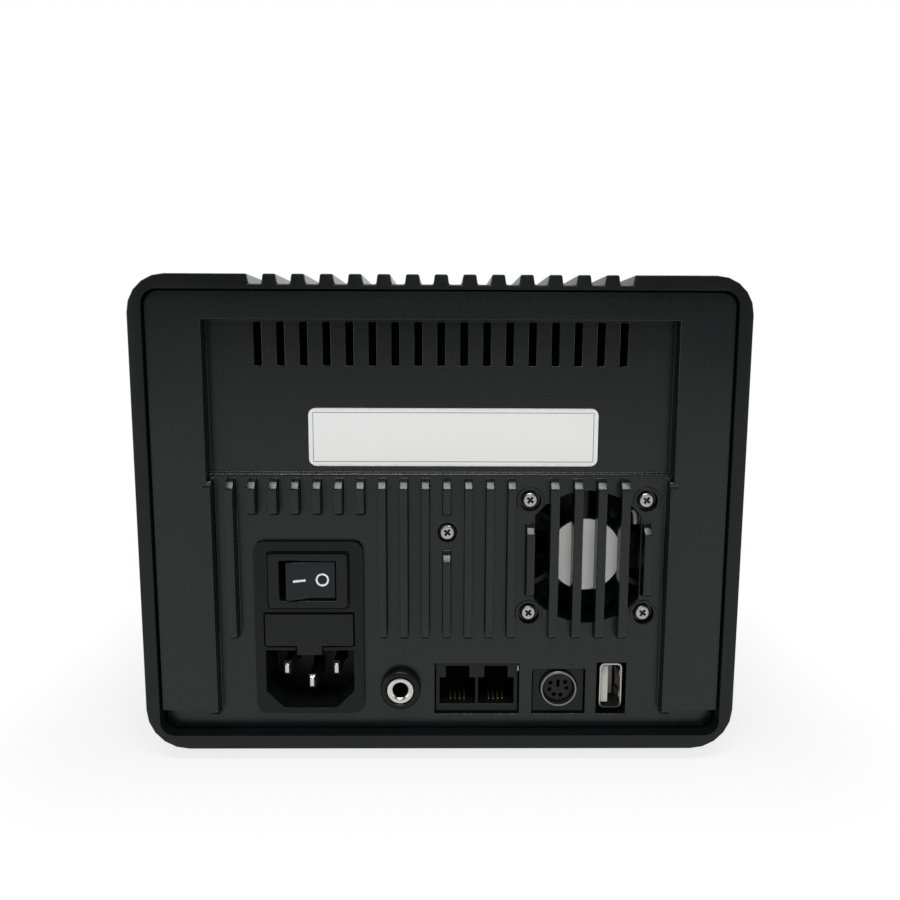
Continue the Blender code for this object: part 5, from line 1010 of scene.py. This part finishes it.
def switch_groove(inlet):
    """Cuts the dark gap round the switch's surround into the inlet's face."""
    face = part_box("inlet_housing")[0].y
    ring = face_on("ring", "switch_frame", GROOVE_OUT, face - 0.001, face + GROOVE_DEPTH)
    carve(ring, face_on("inner", "switch_frame", -GROOVE_IN, face - 0.002, face + 0.002))
    carve(inlet, ring)


def panel_edges(panel):
    """Chamfers the fins' tips and the ledge above them."""
    fin, field, ledge = station(0, FIN_FACE, 0).y, station(0, FIELD_FACE, 0).y, station(0, 0, LEDGE).z

    def lies(edge, y):
        """Whether an edge runs across the panel at this distance from the rim."""
        return runs_along(edge, 0) and all(abs(vert.co.y - y) < 2e-5 for vert in edge.verts)

    def turns_over(edge):
        """Whether an edge lies across a fin's face and has its tip above it."""
        return lies(edge, fin) and any(side.normal.z > 0.5 for side in edge.link_faces)

    def on_ledge(edge, y=field):
        """Whether an edge runs along the ledge at this distance from the rim."""
        return lies(edge, y) and abs(middle_of(edge).z - ledge) < 1e-4

    for test, width in ((turns_over, FIN_CHAMFER), (on_ledge, LEDGE_CHAMFER)):
        edit(panel, "EDGE")
        pick(panel, "edges", test)
        bpy.ops.mesh.bevel(offset=width, segments=1, affect="EDGES", clamp_overlap=False)
        bpy.ops.mesh.select_all(action="SELECT")
        bpy.ops.mesh.remove_doubles(threshold=1e-6)
        let_go()
    edit(panel, "EDGE")
    pick(panel, "edges", lambda edge: on_ledge(edge, field + LEDGE_CHAMFER))
    bpy.ops.transform.translate(value=(0, -LEDGE_TILT, 0))
    let_go()


# Flat pieces


def flat_ring(name, outer, inner=0.0, sides=48, turn=0.0):
    """A flat printed ring facing up, or a filled shape where it has no inner radius."""
    let_go()
    bpy.ops.mesh.primitive_circle_add(vertices=sides, radius=outer, fill_type="NGON", rotation=(0, 0, turn))
    ring = started(name)
    edit(ring)
    bpy.ops.mesh.select_all(action="SELECT")
    if inner:
        bpy.ops.mesh.inset(thickness=outer - inner)
        bpy.ops.mesh.delete(type="FACE")
    thickened((0, 0, PRINT_DEPTH))
    return ring


def flat_bar(name, width, height, corner=0.0, segments=3, depth=PRINT_DEPTH):
    """A flat bar facing up, with round corners where it has a radius for them."""
    let_go()
    bpy.ops.mesh.primitive_plane_add(size=1)
    bpy.context.active_object.scale = (width, height, 1)
    bar = started(name)
    edit(bar, "VERT")
    bpy.ops.mesh.select_all(action="SELECT")
    if corner:
        bpy.ops.mesh.bevel(offset=corner, segments=segments, affect="VERTICES")
    thickened((0, 0, depth))
    return bar


def stuck_on(piece, ground, x, z):
    """Lays a flat piece on another where a line from behind meets it."""
    place, facing = met_from_behind(ground, x, z)
    return laid(piece, place + facing * SHEET_LIFT, facing)


def rating_label():
    """The bare white label, stuck in the bay above the fins."""
    width, height = LABEL_SPAN[1] - LABEL_SPAN[0], LABEL_RISE[1] - LABEL_RISE[0]
    label = flat_bar("rating_label", width, height, LABEL_CORNER, 8, LABEL_THICKNESS)
    dress(stuck_on(label, bpy.data.objects["back_panel"], sum(LABEL_SPAN) / 2, sum(LABEL_RISE) / 2), LABEL)


# Screws


def crossed(name, seat, reach, half, near, far, taper=(1, 1, 1)):
    """The two arms of a cross in a screw's head, narrower at the far end by a taper."""
    arms = []
    for turn in RECESS_TURNS:
        arm = block(name, (-reach, near, -half), (reach, far, half))
        edit(arm)
        pick(arm, "faces", lambda f: f.normal.y > 0.9)
        bpy.ops.transform.resize(value=taper)
        arms.append(placed(arm, (seat.x, 0, seat.z), (0, math.radians(turn), 0)))
    return arms


def cross_screw(name, seat, head, height, length):
    """A pan head screw, head towards the rear, with a domed rim and a cross recess."""
    screw = drum(name, seat - Vector((0, height / 2, 0)), head, height, sides=40)
    near = seat.y - height
    round_edges(screw, lambda e: all(abs(v.co.y - near) < 1e-6 for v in e.verts), height * RIM_SHARE, 5)
    edit(screw)
    pick(screw, "faces", lambda f: f.normal.y > 0.9)
    bpy.ops.mesh.inset(thickness=head - SHANK)
    bpy.ops.mesh.extrude_region_move(TRANSFORM_OT_translate={"value": (0, length, 0)})
    bpy.ops.mesh.inset(thickness=SHANK * POINT_INSET)
    bpy.ops.transform.translate(value=(0, SHANK * POINT_REACH, 0))
    let_go()
    reach, half = head * RECESS_LENGTH / 2, head * RECESS_WIDTH / 2
    floor = near + height * RECESS_DEPTH
    for arm in crossed("arm", seat, reach, half, near - 0.001, floor, RECESS_TAPER):
        carve(screw, arm)
    return screw


def rear_screw(name, node):
    """A screw that points to the front, in a node's place."""
    low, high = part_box(node)
    length = high.y - low.y - HEAD_HEIGHT - POINT
    return cross_screw(name, on_axis(node, low.y + HEAD_HEIGHT), half_width(node), HEAD_HEIGHT, length)


def painted_recess_shade(node):
    """A dark cross on the floor of such a screw's cross recess: painted shade."""
    reach = half_width(node) * RECESS_LENGTH * CROSS_SHADE_LENGTH / 2
    half = half_width(node) * RECESS_WIDTH * CROSS_SHADE_WIDTH / 2
    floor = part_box(node)[0].y + HEAD_HEIGHT * RECESS_DEPTH
    arms = crossed("painted_recess_shade", on_axis(node), reach, half, floor - CROSS_SHADE_TOP, floor - CROSS_SHADE_FOOT)
    carve(arms[0], arms[1], "UNION")
    return arms[0]


def screws():
    """The fan's four screws, the one in the panel, and the base plate's four."""
    dress_four(rear_screw("fan_bolt_1", "fan_screw_1"), "fan_bolt", "fan_screw", "zinc_steel")
    shade_crosses = copies(painted_recess_shade("fan_screw_1"), "painted_recess_shade", "fan_screw")
    # Dark crosses in the recesses of the fan's screws and the panel's screw: painted shade
    dress(joined(shade_crosses + [painted_recess_shade("panel_screw")]), CROSS_SHADE)
    bolt = rear_screw("panel_bolt", "panel_screw")
    dress(bolt, FINISHES["zinc_steel"], stands_for=("panel_screw",))
    low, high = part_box("base_screw_1")
    length = high.z - low.z - FLOOR_HEAD_HEIGHT - FLOOR_POINT
    bolt = cross_screw("floor_bolt_1", Vector(), half_width("base_screw_1"), FLOOR_HEAD_HEIGHT, length)
    seat = ((low.x + high.x) / 2, (low.y + high.y) / 2, low.z + FLOOR_HEAD_HEIGHT)
    dress_four(placed(bolt, seat, (math.pi / 2, 0, 0)), "floor_bolt", "base_screw", "zinc_steel")


# Mains switch


def rocker():
    """The rocker with its two printed marks, off and on."""
    button = refined("switch_rocker", "rocker_button", ROCKER_BLACK, ROCKER_ROUND, segments=3)
    x, width, height = BAR_MARK
    dress(stuck_on(flat_bar("rocker_on_mark", width, height), button, x, MARK_HEIGHT), WHITE_INK, "rocker")
    x, outer, inner = RING_MARK
    dress(stuck_on(flat_ring("rocker_off_mark", outer, inner), button, x, MARK_HEIGHT), WHITE_INK, "rocker")


# Fan


def hub_sticker():
    """The round white sticker on the fan's fixed hub, left bare."""
    middle = on_axis("fan_frame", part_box("fan_frame")[0].y - STICKER_THICKNESS / 2 - SHEET_LIFT)
    dress(drum("hub_sticker", middle, STICKER_RADIUS, STICKER_THICKNESS, sides=64), STICKER)


def fan_lead():
    """A short loop of the fan's white lead, caught at the edge of its frame."""
    let_go()
    start = station(*LEAD_START)
    bpy.ops.mesh.primitive_circle_add(vertices=14, radius=LEAD_RADIUS, fill_type="NGON", location=start)
    lead = started("fan_lead")
    edit(lead)
    thickened(*LEAD_STEPS)
    round_edges(lead, lambda e: e.calc_face_angle(0) > LEAD_SHARP, LEAD_ROUND)
    dress(lead, LEAD_WHITE)


# Earth socket


def earth_socket():
    """The earth bonding socket: bright turned sleeve in its black collar."""
    low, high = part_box("earth_sleeve")
    rim, length = half_width("earth_sleeve"), high.y - low.y
    floor = length - EARTH_FLOOR
    profile = [(0, floor), (EARTH_BORE, floor), (EARTH_BORE, 0.0004), (EARTH_BORE + 0.0003, 0.0001)]
    profile += [(EARTH_BORE + 0.0005, 0), (rim - 0.0004, 0), (rim - 0.0001, 0.0001), (rim, 0.0004)]
    profile += [(rim, EARTH_FLANGE), (EARTH_SHANK, EARTH_FLANGE), (EARTH_SHANK, length), (0, length)]
    sleeve = turned("earth_bush", profile, on_axis("earth_sleeve", low.y), steps=64)
    dress(sleeve, BUSH, stands_for=("earth_sleeve",))
    low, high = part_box("earth_collar")
    edge, depth = half_width("earth_collar"), high.y - low.y
    inner = rim + COLLAR_GAP
    profile = [(COLLAR_HOLE, COLLAR_STEP), (inner, COLLAR_STEP), (inner, 0.0002), (inner + 0.0002, 0)]
    profile += [(edge - 0.0010, 0), (edge - 0.0005, 0.0001), (edge - 0.0001, 0.0005), (edge, 0.0010)]
    profile += [(edge, COLLAR_FLANGE), (COLLAR_SHANK, COLLAR_FLANGE), (COLLAR_SHANK, depth)]
    profile += [(COLLAR_HOLE, depth), (COLLAR_HOLE, COLLAR_STEP)]
    collar = turned("earth_socket_collar", profile, on_axis("earth_sleeve", low.y), steps=64)
    dress(collar, INLET_BLACK, stands_for=("earth_collar",))


# Round signal socket


def din_socket():
    """The round signal socket: square body, bright ring, and a slotted core with contacts in its holes."""
    low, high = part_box("din_body")
    front, back = (corner.y - low.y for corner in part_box("din_ring"))
    centre, outer = on_axis("din_ring", low.y), half_width("din_ring")
    edge, floor = outer + DIN_GAP, back + DIN_GAP
    groove = [(DIN_CORE, -0.001), (edge, -0.001), (edge, floor), (DIN_CORE, floor), (DIN_CORE, -0.001)]
    body = block("din_shell", low, high)
    carve(body, turned("groove", groove, centre))
    for place in round_places(centre, DIN_CIRCLE, DIN_PINS, DIN_HOLE_SINK):
        carve(body, drum("hole", place, DIN_HOLE, DIN_HOLE_DEPTH, sides=14))
    carve(body, block("key", *(centre + Vector(corner) for corner in DIN_KEY)))
    soften(body, SMALL_ROUND)
    dress(body, FINISHES["fitting_black"], stands_for=("din_body",))
    profile = [(DIN_RING_BORE, back), (DIN_RING_BORE, front + 0.0003), (DIN_RING_BORE + 0.00012, front)]
    profile += [(outer - 0.00015, front), (outer, front + 0.0002), (outer, back), (DIN_RING_BORE, back)]
    ring = turned("din_screen", profile, centre, steps=64)
    dress(ring, TIN, stands_for=("din_ring",))
    places = round_places(centre, DIN_CIRCLE, DIN_PINS, DIN_PIN_SINK)
    pins = [drum("din_contacts", place, DIN_PIN, DIN_PIN_LENGTH, sides=12) for place in places]
    dress(joined(pins), GOLD)


# Flat signal socket


def usb_screen():
    """The shell: a bar with round corners, opened at its mouth and hollowed to a thin wall."""
    shell = block("usb_screen", *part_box("usb_shell"))
    round_edges(shell, lambda e: runs_along(e, 1), USB_CORNER, 5)
    edit(shell)
    pick(shell, "faces", lambda f: f.normal.y < -0.9)
    bpy.ops.mesh.delete(type="FACE")
    take(shell)
    wall = shell.modifiers.new("wall", "SOLIDIFY")
    wall.thickness = USB_WALL
    wall.offset = -1
    bpy.ops.object.modifier_apply(modifier=wall.name)
    dress(shell, SCREEN, stands_for=("usb_shell",))


def socket_gasket():
    """The dark gasket round the shell, between the back panel and the board."""
    back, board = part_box("rear_panel")[1].y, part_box("interface_board")[0].y
    near, far = back + GASKET_CLEAR, min(back + GASKET_BACK, board - GASKET_CLEAR)
    gasket = face_on("socket_gasket", "usb_shell", GASKET_REACH, near, far)
    carve(gasket, face_on("hole", "usb_shell", GASKET_GAP, near - 0.001, far + 0.001))
    soften(gasket, SMALL_ROUND)
    dress(gasket, MATT_BLACK)


def usb_springs():
    """Two bowed leaves on each side wall of the shell, towards its middle."""
    low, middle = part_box("usb_shell")[0], on_axis("usb_shell")
    thin, wide = SPRING_HALF
    step = (SPRING_SPAN[1] - SPRING_SPAN[0]) / (len(SPRING_BOW) - 1)
    springs = []
    for side in (-1, 1):
        x = middle.x + side * (half_width("usb_shell") - USB_WALL)
        for z in (middle.z - SPRING_RISE, middle.z + SPRING_RISE):
            leaf = block("usb_springs", (x - thin, low.y + SPRING_SPAN[0], z - wide),
                         (x + thin, low.y + SPRING_SPAN[1], z + wide))
            edit(leaf)
            bpy.ops.mesh.select_all(action="SELECT")
            bpy.ops.mesh.subdivide(number_cuts=len(SPRING_BOW) - 2)
            let_go()
            for vert in leaf.data.vertices:
                vert.co.x -= side * SPRING_BOW[round((vert.co.y - low.y - SPRING_SPAN[0]) / step)]
            springs.append(leaf)
    dress(joined(springs), FINISHES["nickel"])


def usb_socket():
    """The upright flat socket: folded shell with its springs, white tongue and gilt contacts."""
    usb_screen()
    socket_gasket()
    usb_springs()
    refined("usb_insulator", "usb_tongue", WHITE_NYLON, TONGUE_ROUND)
    low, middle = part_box("usb_shell")[0], on_axis("usb_shell")
    face, (start, end) = low.x + TONGUE_FACE, USB_CONTACT_SPAN
    strips = []
    for z in spaced(4, USB_PITCH):
        strips.append(block(
            "usb_contacts",
            (face - USB_CONTACT_SINK, low.y + start, middle.z + z - USB_CONTACT_HALF),
            (face + USB_CONTACT_PROUD, low.y + end, middle.z + z + USB_CONTACT_HALF),
        ))
    strips = joined(strips)
    soften(strips, USB_CONTACT_ROUND)
    dress(strips, GOLD)


# Twin jack


def in_ports(name, across, half, span, heights):
    """A block at each distance across in both ports of the twin jack."""
    low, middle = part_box("twin_jack")[0], on_axis("twin_jack")
    floor = CASE_LOW.z + TWIN_FLOOR
    blocks = []
    for x in (middle.x + port + shift for port in TWIN_PORTS for shift in across):
        near = (x - half, low.y + span[0], floor + heights[0])
        blocks.append(block(name, near, (x + half, low.y + span[1], floor + heights[1])))
    return blocks


def twin_jack():
    """The double jack's eased body, and gilt wires that rise towards the dark back of each opening."""
    refined("twin_jack", "twin_jack_body", finish_of("twin_jack"), TWIN_ROUND)
    wires = in_ports("twin_contacts", spaced(4, TWIN_PITCH), WIRE_HALF, WIRE_SPAN, WIRE_HEIGHT)
    for wire in wires:
        edit(wire)
        pick(wire, "faces", lambda f: f.normal.y > 0.9)
        bpy.ops.transform.translate(value=(0, 0, WIRE_RISE))
    wires = joined(wires)
    soften(wires, WIRE_ROUND)
    dress(wires, GOLD)
    # Dark blocks at the back of each port: painted shade
    port_shades = joined(in_ports("twin_port_shades", (0,), PORT_SHADE_HALF, PORT_SHADE_SPAN, PORT_SHADE_HEIGHT))
    soften(port_shades, SMALL_ROUND)
    dress(port_shades, MATT_BLACK)


# Front


def keys():
    """The six key caps."""
    for node in KEYS:
        refined(node, f"{node}_button", finish_of(node), KEY_ROUND)


def on_front(piece, node, finish, body="station"):
    """Lays a flat piece on the front face of a CAD node, about the node's middle."""
    place = on_axis(node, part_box(node)[1].y + SHEET_LIFT)
    dress(laid(piece, place, Vector((0, 1, 0))), finish, body)


def key_signs():
    """Arrow, ring and bar signs on the keys."""
    signs = {
        "key_up": flat_ring("key_up_sign", ARROW, sides=3),
        "key_down": flat_ring("key_down_sign", ARROW, sides=3, turn=math.pi),
        "key_set": flat_ring("key_set_sign", *RING),
    }
    for node, count in (("key_memory", 3), ("key_air", 2), ("key_iron", 1)):
        rows = spaced(count, KEY_BAR_PITCH)
        signs[node] = joined([placed(flat_bar(f"{node}_sign", *KEY_BAR), (0, row, 0)) for row in rows])
    for node, sign in signs.items():
        on_front(sign, node, WHITE_INK, f"{node}_cap")


def digit(across, up):
    """Seven bars about a place on the display's face."""
    width, height, stroke = DIGIT
    thin, corner = stroke * SEGMENT_SHARE, stroke * SEGMENT_CORNER
    bars = [(0, row * height / 2, width - stroke, thin) for row in (-1, 0, 1)]
    for side in (-1, 1):
        bars += [(side * width / 2, row * height / 4, thin, height / 2 - stroke) for row in (-1, 1)]
    made = []
    for x, z, wide, high in bars:
        made.append(placed(flat_bar("segments", wide, high, corner), (across + x, up + z, 0)))
    return made


def display():
    """Unlit digits behind the smoked pane."""
    bars = []
    for group in (-GROUP_ACROSS, GROUP_ACROSS):
        for across in spaced(DIGITS, DIGIT_PITCH):
            bars += digit(group + across, GROUP_RISE)
    row = joined(bars)
    row.name = "display_segments"
    on_front(row, "display_module", SEGMENTS)


# Iron socket and air outlet


def iron_socket():
    """The iron's round socket: threaded bright shell, keyed insert and gilt contacts."""
    low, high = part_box("iron_socket_shell")
    flange, root = half_width("iron_socket_shell"), IRON_BARREL - IRON_ROOT
    seat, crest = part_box("front_bezel")[1].y + SEAT_GAP, IRON_BARREL
    profile = [(IRON_BORE, low.y), (crest, low.y), (crest, seat), (flange - 0.0004, seat)]
    profile += [(flange, seat + 0.0004), (flange, seat + 0.0013), (flange - 0.0007, seat + IRON_FLANGE)]
    profile += [(root, seat + IRON_FLANGE)]
    start = high.y - IRON_TIP - IRON_TURNS * IRON_PITCH
    for y in (start + i * IRON_PITCH for i in range(IRON_TURNS)):
        profile += [(root, y)] + [(crest, y + IRON_PITCH * share) for share in IRON_CREST]
    profile += [(root, high.y - IRON_TIP), (crest - 0.0007, high.y), (IRON_BORE + 0.0003, high.y)]
    profile += [(IRON_BORE, high.y - 0.0003), (IRON_BORE, low.y)]
    shell = turned("iron_socket_barrel", profile, on_axis("iron_socket_shell"), steps=64)
    dress(shell, FINISHES["nickel"], stands_for=("iron_socket_shell",))
    refined("iron_socket_insert", "iron_socket_core", finish_of("iron_socket_insert"), IRON_CORE_ROUND)
    middle = on_axis("iron_socket_shell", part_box("iron_socket_insert")[1].y)
    places = round_places(middle, IRON_CIRCLE, IRON_PINS, -IRON_PIN_SINK)
    pins = [drum("iron_contacts", place, IRON_PIN, IRON_PIN_LENGTH, sides=14) for place in places]
    dress(joined(pins), GOLD)


def air_outlet():
    """The hot air outlet: fluted flange and ribbed nose, turned and then cut."""
    low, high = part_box("air_outlet_gland")
    centre, edge = on_axis("air_outlet_gland"), OUTLET_FLANGE
    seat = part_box("front_bezel")[1].y + SEAT_GAP
    face, shoulder = seat + OUTLET_THICKNESS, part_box("gland_nut")[0].y - OUTLET_SHOULDER
    profile = [(OUTLET_TAIL_BORE, low.y), (OUTLET_TAIL, low.y), (OUTLET_TAIL, shoulder)]
    profile += [(OUTLET_SHANK, shoulder), (OUTLET_SHANK, seat), (edge - 0.0004, seat), (edge, seat + 0.0004)]
    profile += [(edge, face - 0.0006), (edge - 0.0006, face), (NOSE, face)]
    rib = (high.y - seat - NOSE_START - NOSE_END) / RIBS
    for i in range(RIBS):
        y, radius = seat + NOSE_START + rib * i, NOSE - NOSE_TAPER * i / RIBS
        root, half = radius - RIB_DEPTH, y + rib / 2
        profile += [(root, y), (root, half), (radius, half + 0.0002), (radius - 0.0002, y + rib - 0.0001)]
    profile += [(LIP, high.y - NOSE_END), (MOUTH, high.y), (OUTLET_BORE + 0.0005, high.y)]
    profile += [(OUTLET_BORE, high.y - 0.0005), (OUTLET_BORE, shoulder)]
    profile += [(OUTLET_TAIL_BORE, shoulder - 0.0010), (OUTLET_TAIL_BORE, low.y)]
    gland = turned("air_outlet_nozzle", profile, centre, steps=64)
    flutes = [i * 360 / FLUTES for i in range(FLUTES)]
    for place in round_places(centre, FLUTE_CIRCLE, flutes, seat + OUTLET_THICKNESS / 2):
        carve(gland, drum("flute", place, FLUTE_RADIUS, FLUTE_DEPTH, sides=14))
    dress(gland, FINISHES["fitting_black"], stands_for=("air_outlet_gland",))


# Underside


def feet():
    """Four turned rubber feet with a recess round the stem's screw."""
    low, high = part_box("foot_1")
    radius, height = half_width("foot_1"), CASE_LOW.z
    profile = [(0, FOOT_RECESS_DEPTH), (FOOT_RECESS - 0.0003, FOOT_RECESS_DEPTH), (FOOT_RECESS, 0)]
    profile += [(radius - 0.0014, 0), (radius - 0.0008, 0.0002), (radius - 0.0005, 0.0007), (radius, height)]
    profile += [(FOOT_STEM, height), (FOOT_STEM, high.z), (0, high.z)]
    centre = Vector(((low.x + high.x) / 2, (low.y + high.y) / 2, 0))
    dress_four(turned("rubber_foot_1", profile, centre, "Z"), "rubber_foot", "foot", "rubber")


# Setting


def camera():
    """The photograph's camera."""
    lens = bpy.data.cameras.new("camera")
    lens.lens = LENS
    lens.sensor_width = SENSOR
    lens.clip_start = 0.01
    made = bpy.data.objects.new("camera", lens)
    bpy.context.scene.collection.objects.link(made)
    pitch, yaw, roll = (math.radians(a) for a in (CAMERA_PITCH, CAMERA_YAW, CAMERA_ROLL))
    ahead = Vector((math.cos(pitch) * math.sin(yaw), math.cos(pitch) * math.cos(yaw), -math.sin(pitch)))
    level = Vector((math.cos(yaw), -math.sin(yaw), 0))
    over = level.cross(ahead)
    right = level * math.cos(roll) + over * math.sin(roll)
    up = over * math.cos(roll) - level * math.sin(roll)
    turn = Matrix((right, up, -ahead)).transposed().to_4x4()
    made.matrix_world = Matrix.Translation(station(*CAMERA_PLACE)) @ turn
    bpy.context.scene.camera = made


def seen_directly(tree, *rays):
    """One for the rays that are named, such as those from the camera, and nought for the light's own."""
    path = tree.nodes.new("ShaderNodeLightPath")
    seen = path.outputs[rays[0]]
    for ray in rays[1:]:
        most = tree.nodes.new("ShaderNodeMath")
        most.operation = "MAXIMUM"
        tree.links.new(seen, most.inputs[0])
        tree.links.new(path.outputs[ray], most.inputs[1])
        seen = most.outputs[0]
    return seen


def floor():
    """A plain pale floor that shows as white, with the object's shadow kept near it."""
    let_go()
    bpy.ops.mesh.primitive_plane_add(size=FLOOR_SIZE)
    ground = started("floor")
    finish = Finish("floor_white", (0.80, 0.80, 0.80), 0.9, Specular_IOR_Level=0.0)
    away = finish.vector("ABSOLUTE", finish.place)
    away = finish.vector("MAXIMUM", finish.vector("SUBTRACT", away, (CASE_HIGH.x, CASE_HIGH.y, 0)), (0, 0, 0))
    away = finish.node("ShaderNodeVectorMath", {"operation": "LENGTH"}, {0: away}, "Value")
    glow = finish.node("ShaderNodeEmission", sockets={"Strength": 1.0})
    seen = seen_directly(finish.tree, "Is Camera Ray", "Is Glossy Ray", "Is Transmission Ray")
    white = NEAR_WHITE + (1 - NEAR_WHITE) * away.steep(*WHITENS)
    mix = finish.node("ShaderNodeMixShader", sockets={0: white * Wire(finish, seen)})
    finish.tree.links.new(finish.shader.outputs[0], mix.socket.node.inputs[1])
    finish.tree.links.new(glow.socket, mix.socket.node.inputs[2])
    finish.tree.links.new(mix.socket, finish.tree.nodes["Material Output"].inputs["Surface"])
    ground.data.materials.append(finish.material)


def mixed(tree, share, first, second):
    """A blend of two shaders."""
    mix = tree.nodes.new("ShaderNodeMixShader")
    for index, socket in enumerate((share, first, second)):
        tree.links.new(socket, mix.inputs[index])
    return mix.outputs[0]


def lights():
    """A white studio: even sky, a soft box overhead, one on each side of the camera, one on the far side."""
    world = bpy.data.worlds.new("studio")
    bpy.context.scene.world = world
    world.use_nodes = True
    tree = world.node_tree
    tree.nodes.clear()
    sky = {}
    for name, strength in (("light", WORLD_LIGHT), ("white", 1.0), ("room", ROOM_GLOSS)):
        sky[name] = tree.nodes.new("ShaderNodeBackground")
        sky[name].inputs["Color"].default_value = (1, 1, 1, 1)
        sky[name].inputs["Strength"].default_value = strength
    way = tree.nodes.new("ShaderNodeSeparateXYZ")
    tree.links.new(tree.nodes.new("ShaderNodeTexCoord").outputs["Generated"], way.inputs[0])
    turn = tree.nodes.new("ShaderNodeMapRange")
    turn.inputs["From Min"].default_value, turn.inputs["From Max"].default_value = ROOM_TURN
    tree.links.new(way.outputs["Y"], turn.inputs["Value"])
    glossy = seen_directly(tree, "Is Glossy Ray", "Is Transmission Ray")
    camera_ray = seen_directly(tree, "Is Camera Ray")
    out = tree.nodes.new("ShaderNodeOutputWorld")
    reflected = mixed(tree, turn.outputs[0], sky["room"].outputs[0], sky["white"].outputs[0])
    background = mixed(tree, glossy, sky["light"].outputs[0], reflected)
    background = mixed(tree, camera_ray, background, sky["white"].outputs[0])
    tree.links.new(background, out.inputs["Surface"])
    for name, place, target, width, depth, watts in LAMPS:
        data = bpy.data.lights.new(name, "AREA")
        data.shape = "RECTANGLE"
        data.size = width
        data.size_y = depth
        data.energy = watts
        lamp = bpy.data.objects.new(name, data)
        bpy.context.scene.collection.objects.link(lamp)
        lamp.location = place
        lamp.rotation_euler = (Vector(target) - Vector(place)).to_track_quat("-Z", "Y").to_euler()


camera()
case()
rating_label()
screws()
rocker()
hub_sticker()
fan_lead()
earth_socket()
din_socket()
usb_socket()
twin_jack()
keys()
key_signs()
display()
iron_socket()
air_outlet()
feet()
let_go()
floor()
lights()
bpy.context.scene.view_settings.view_transform = "Standard"
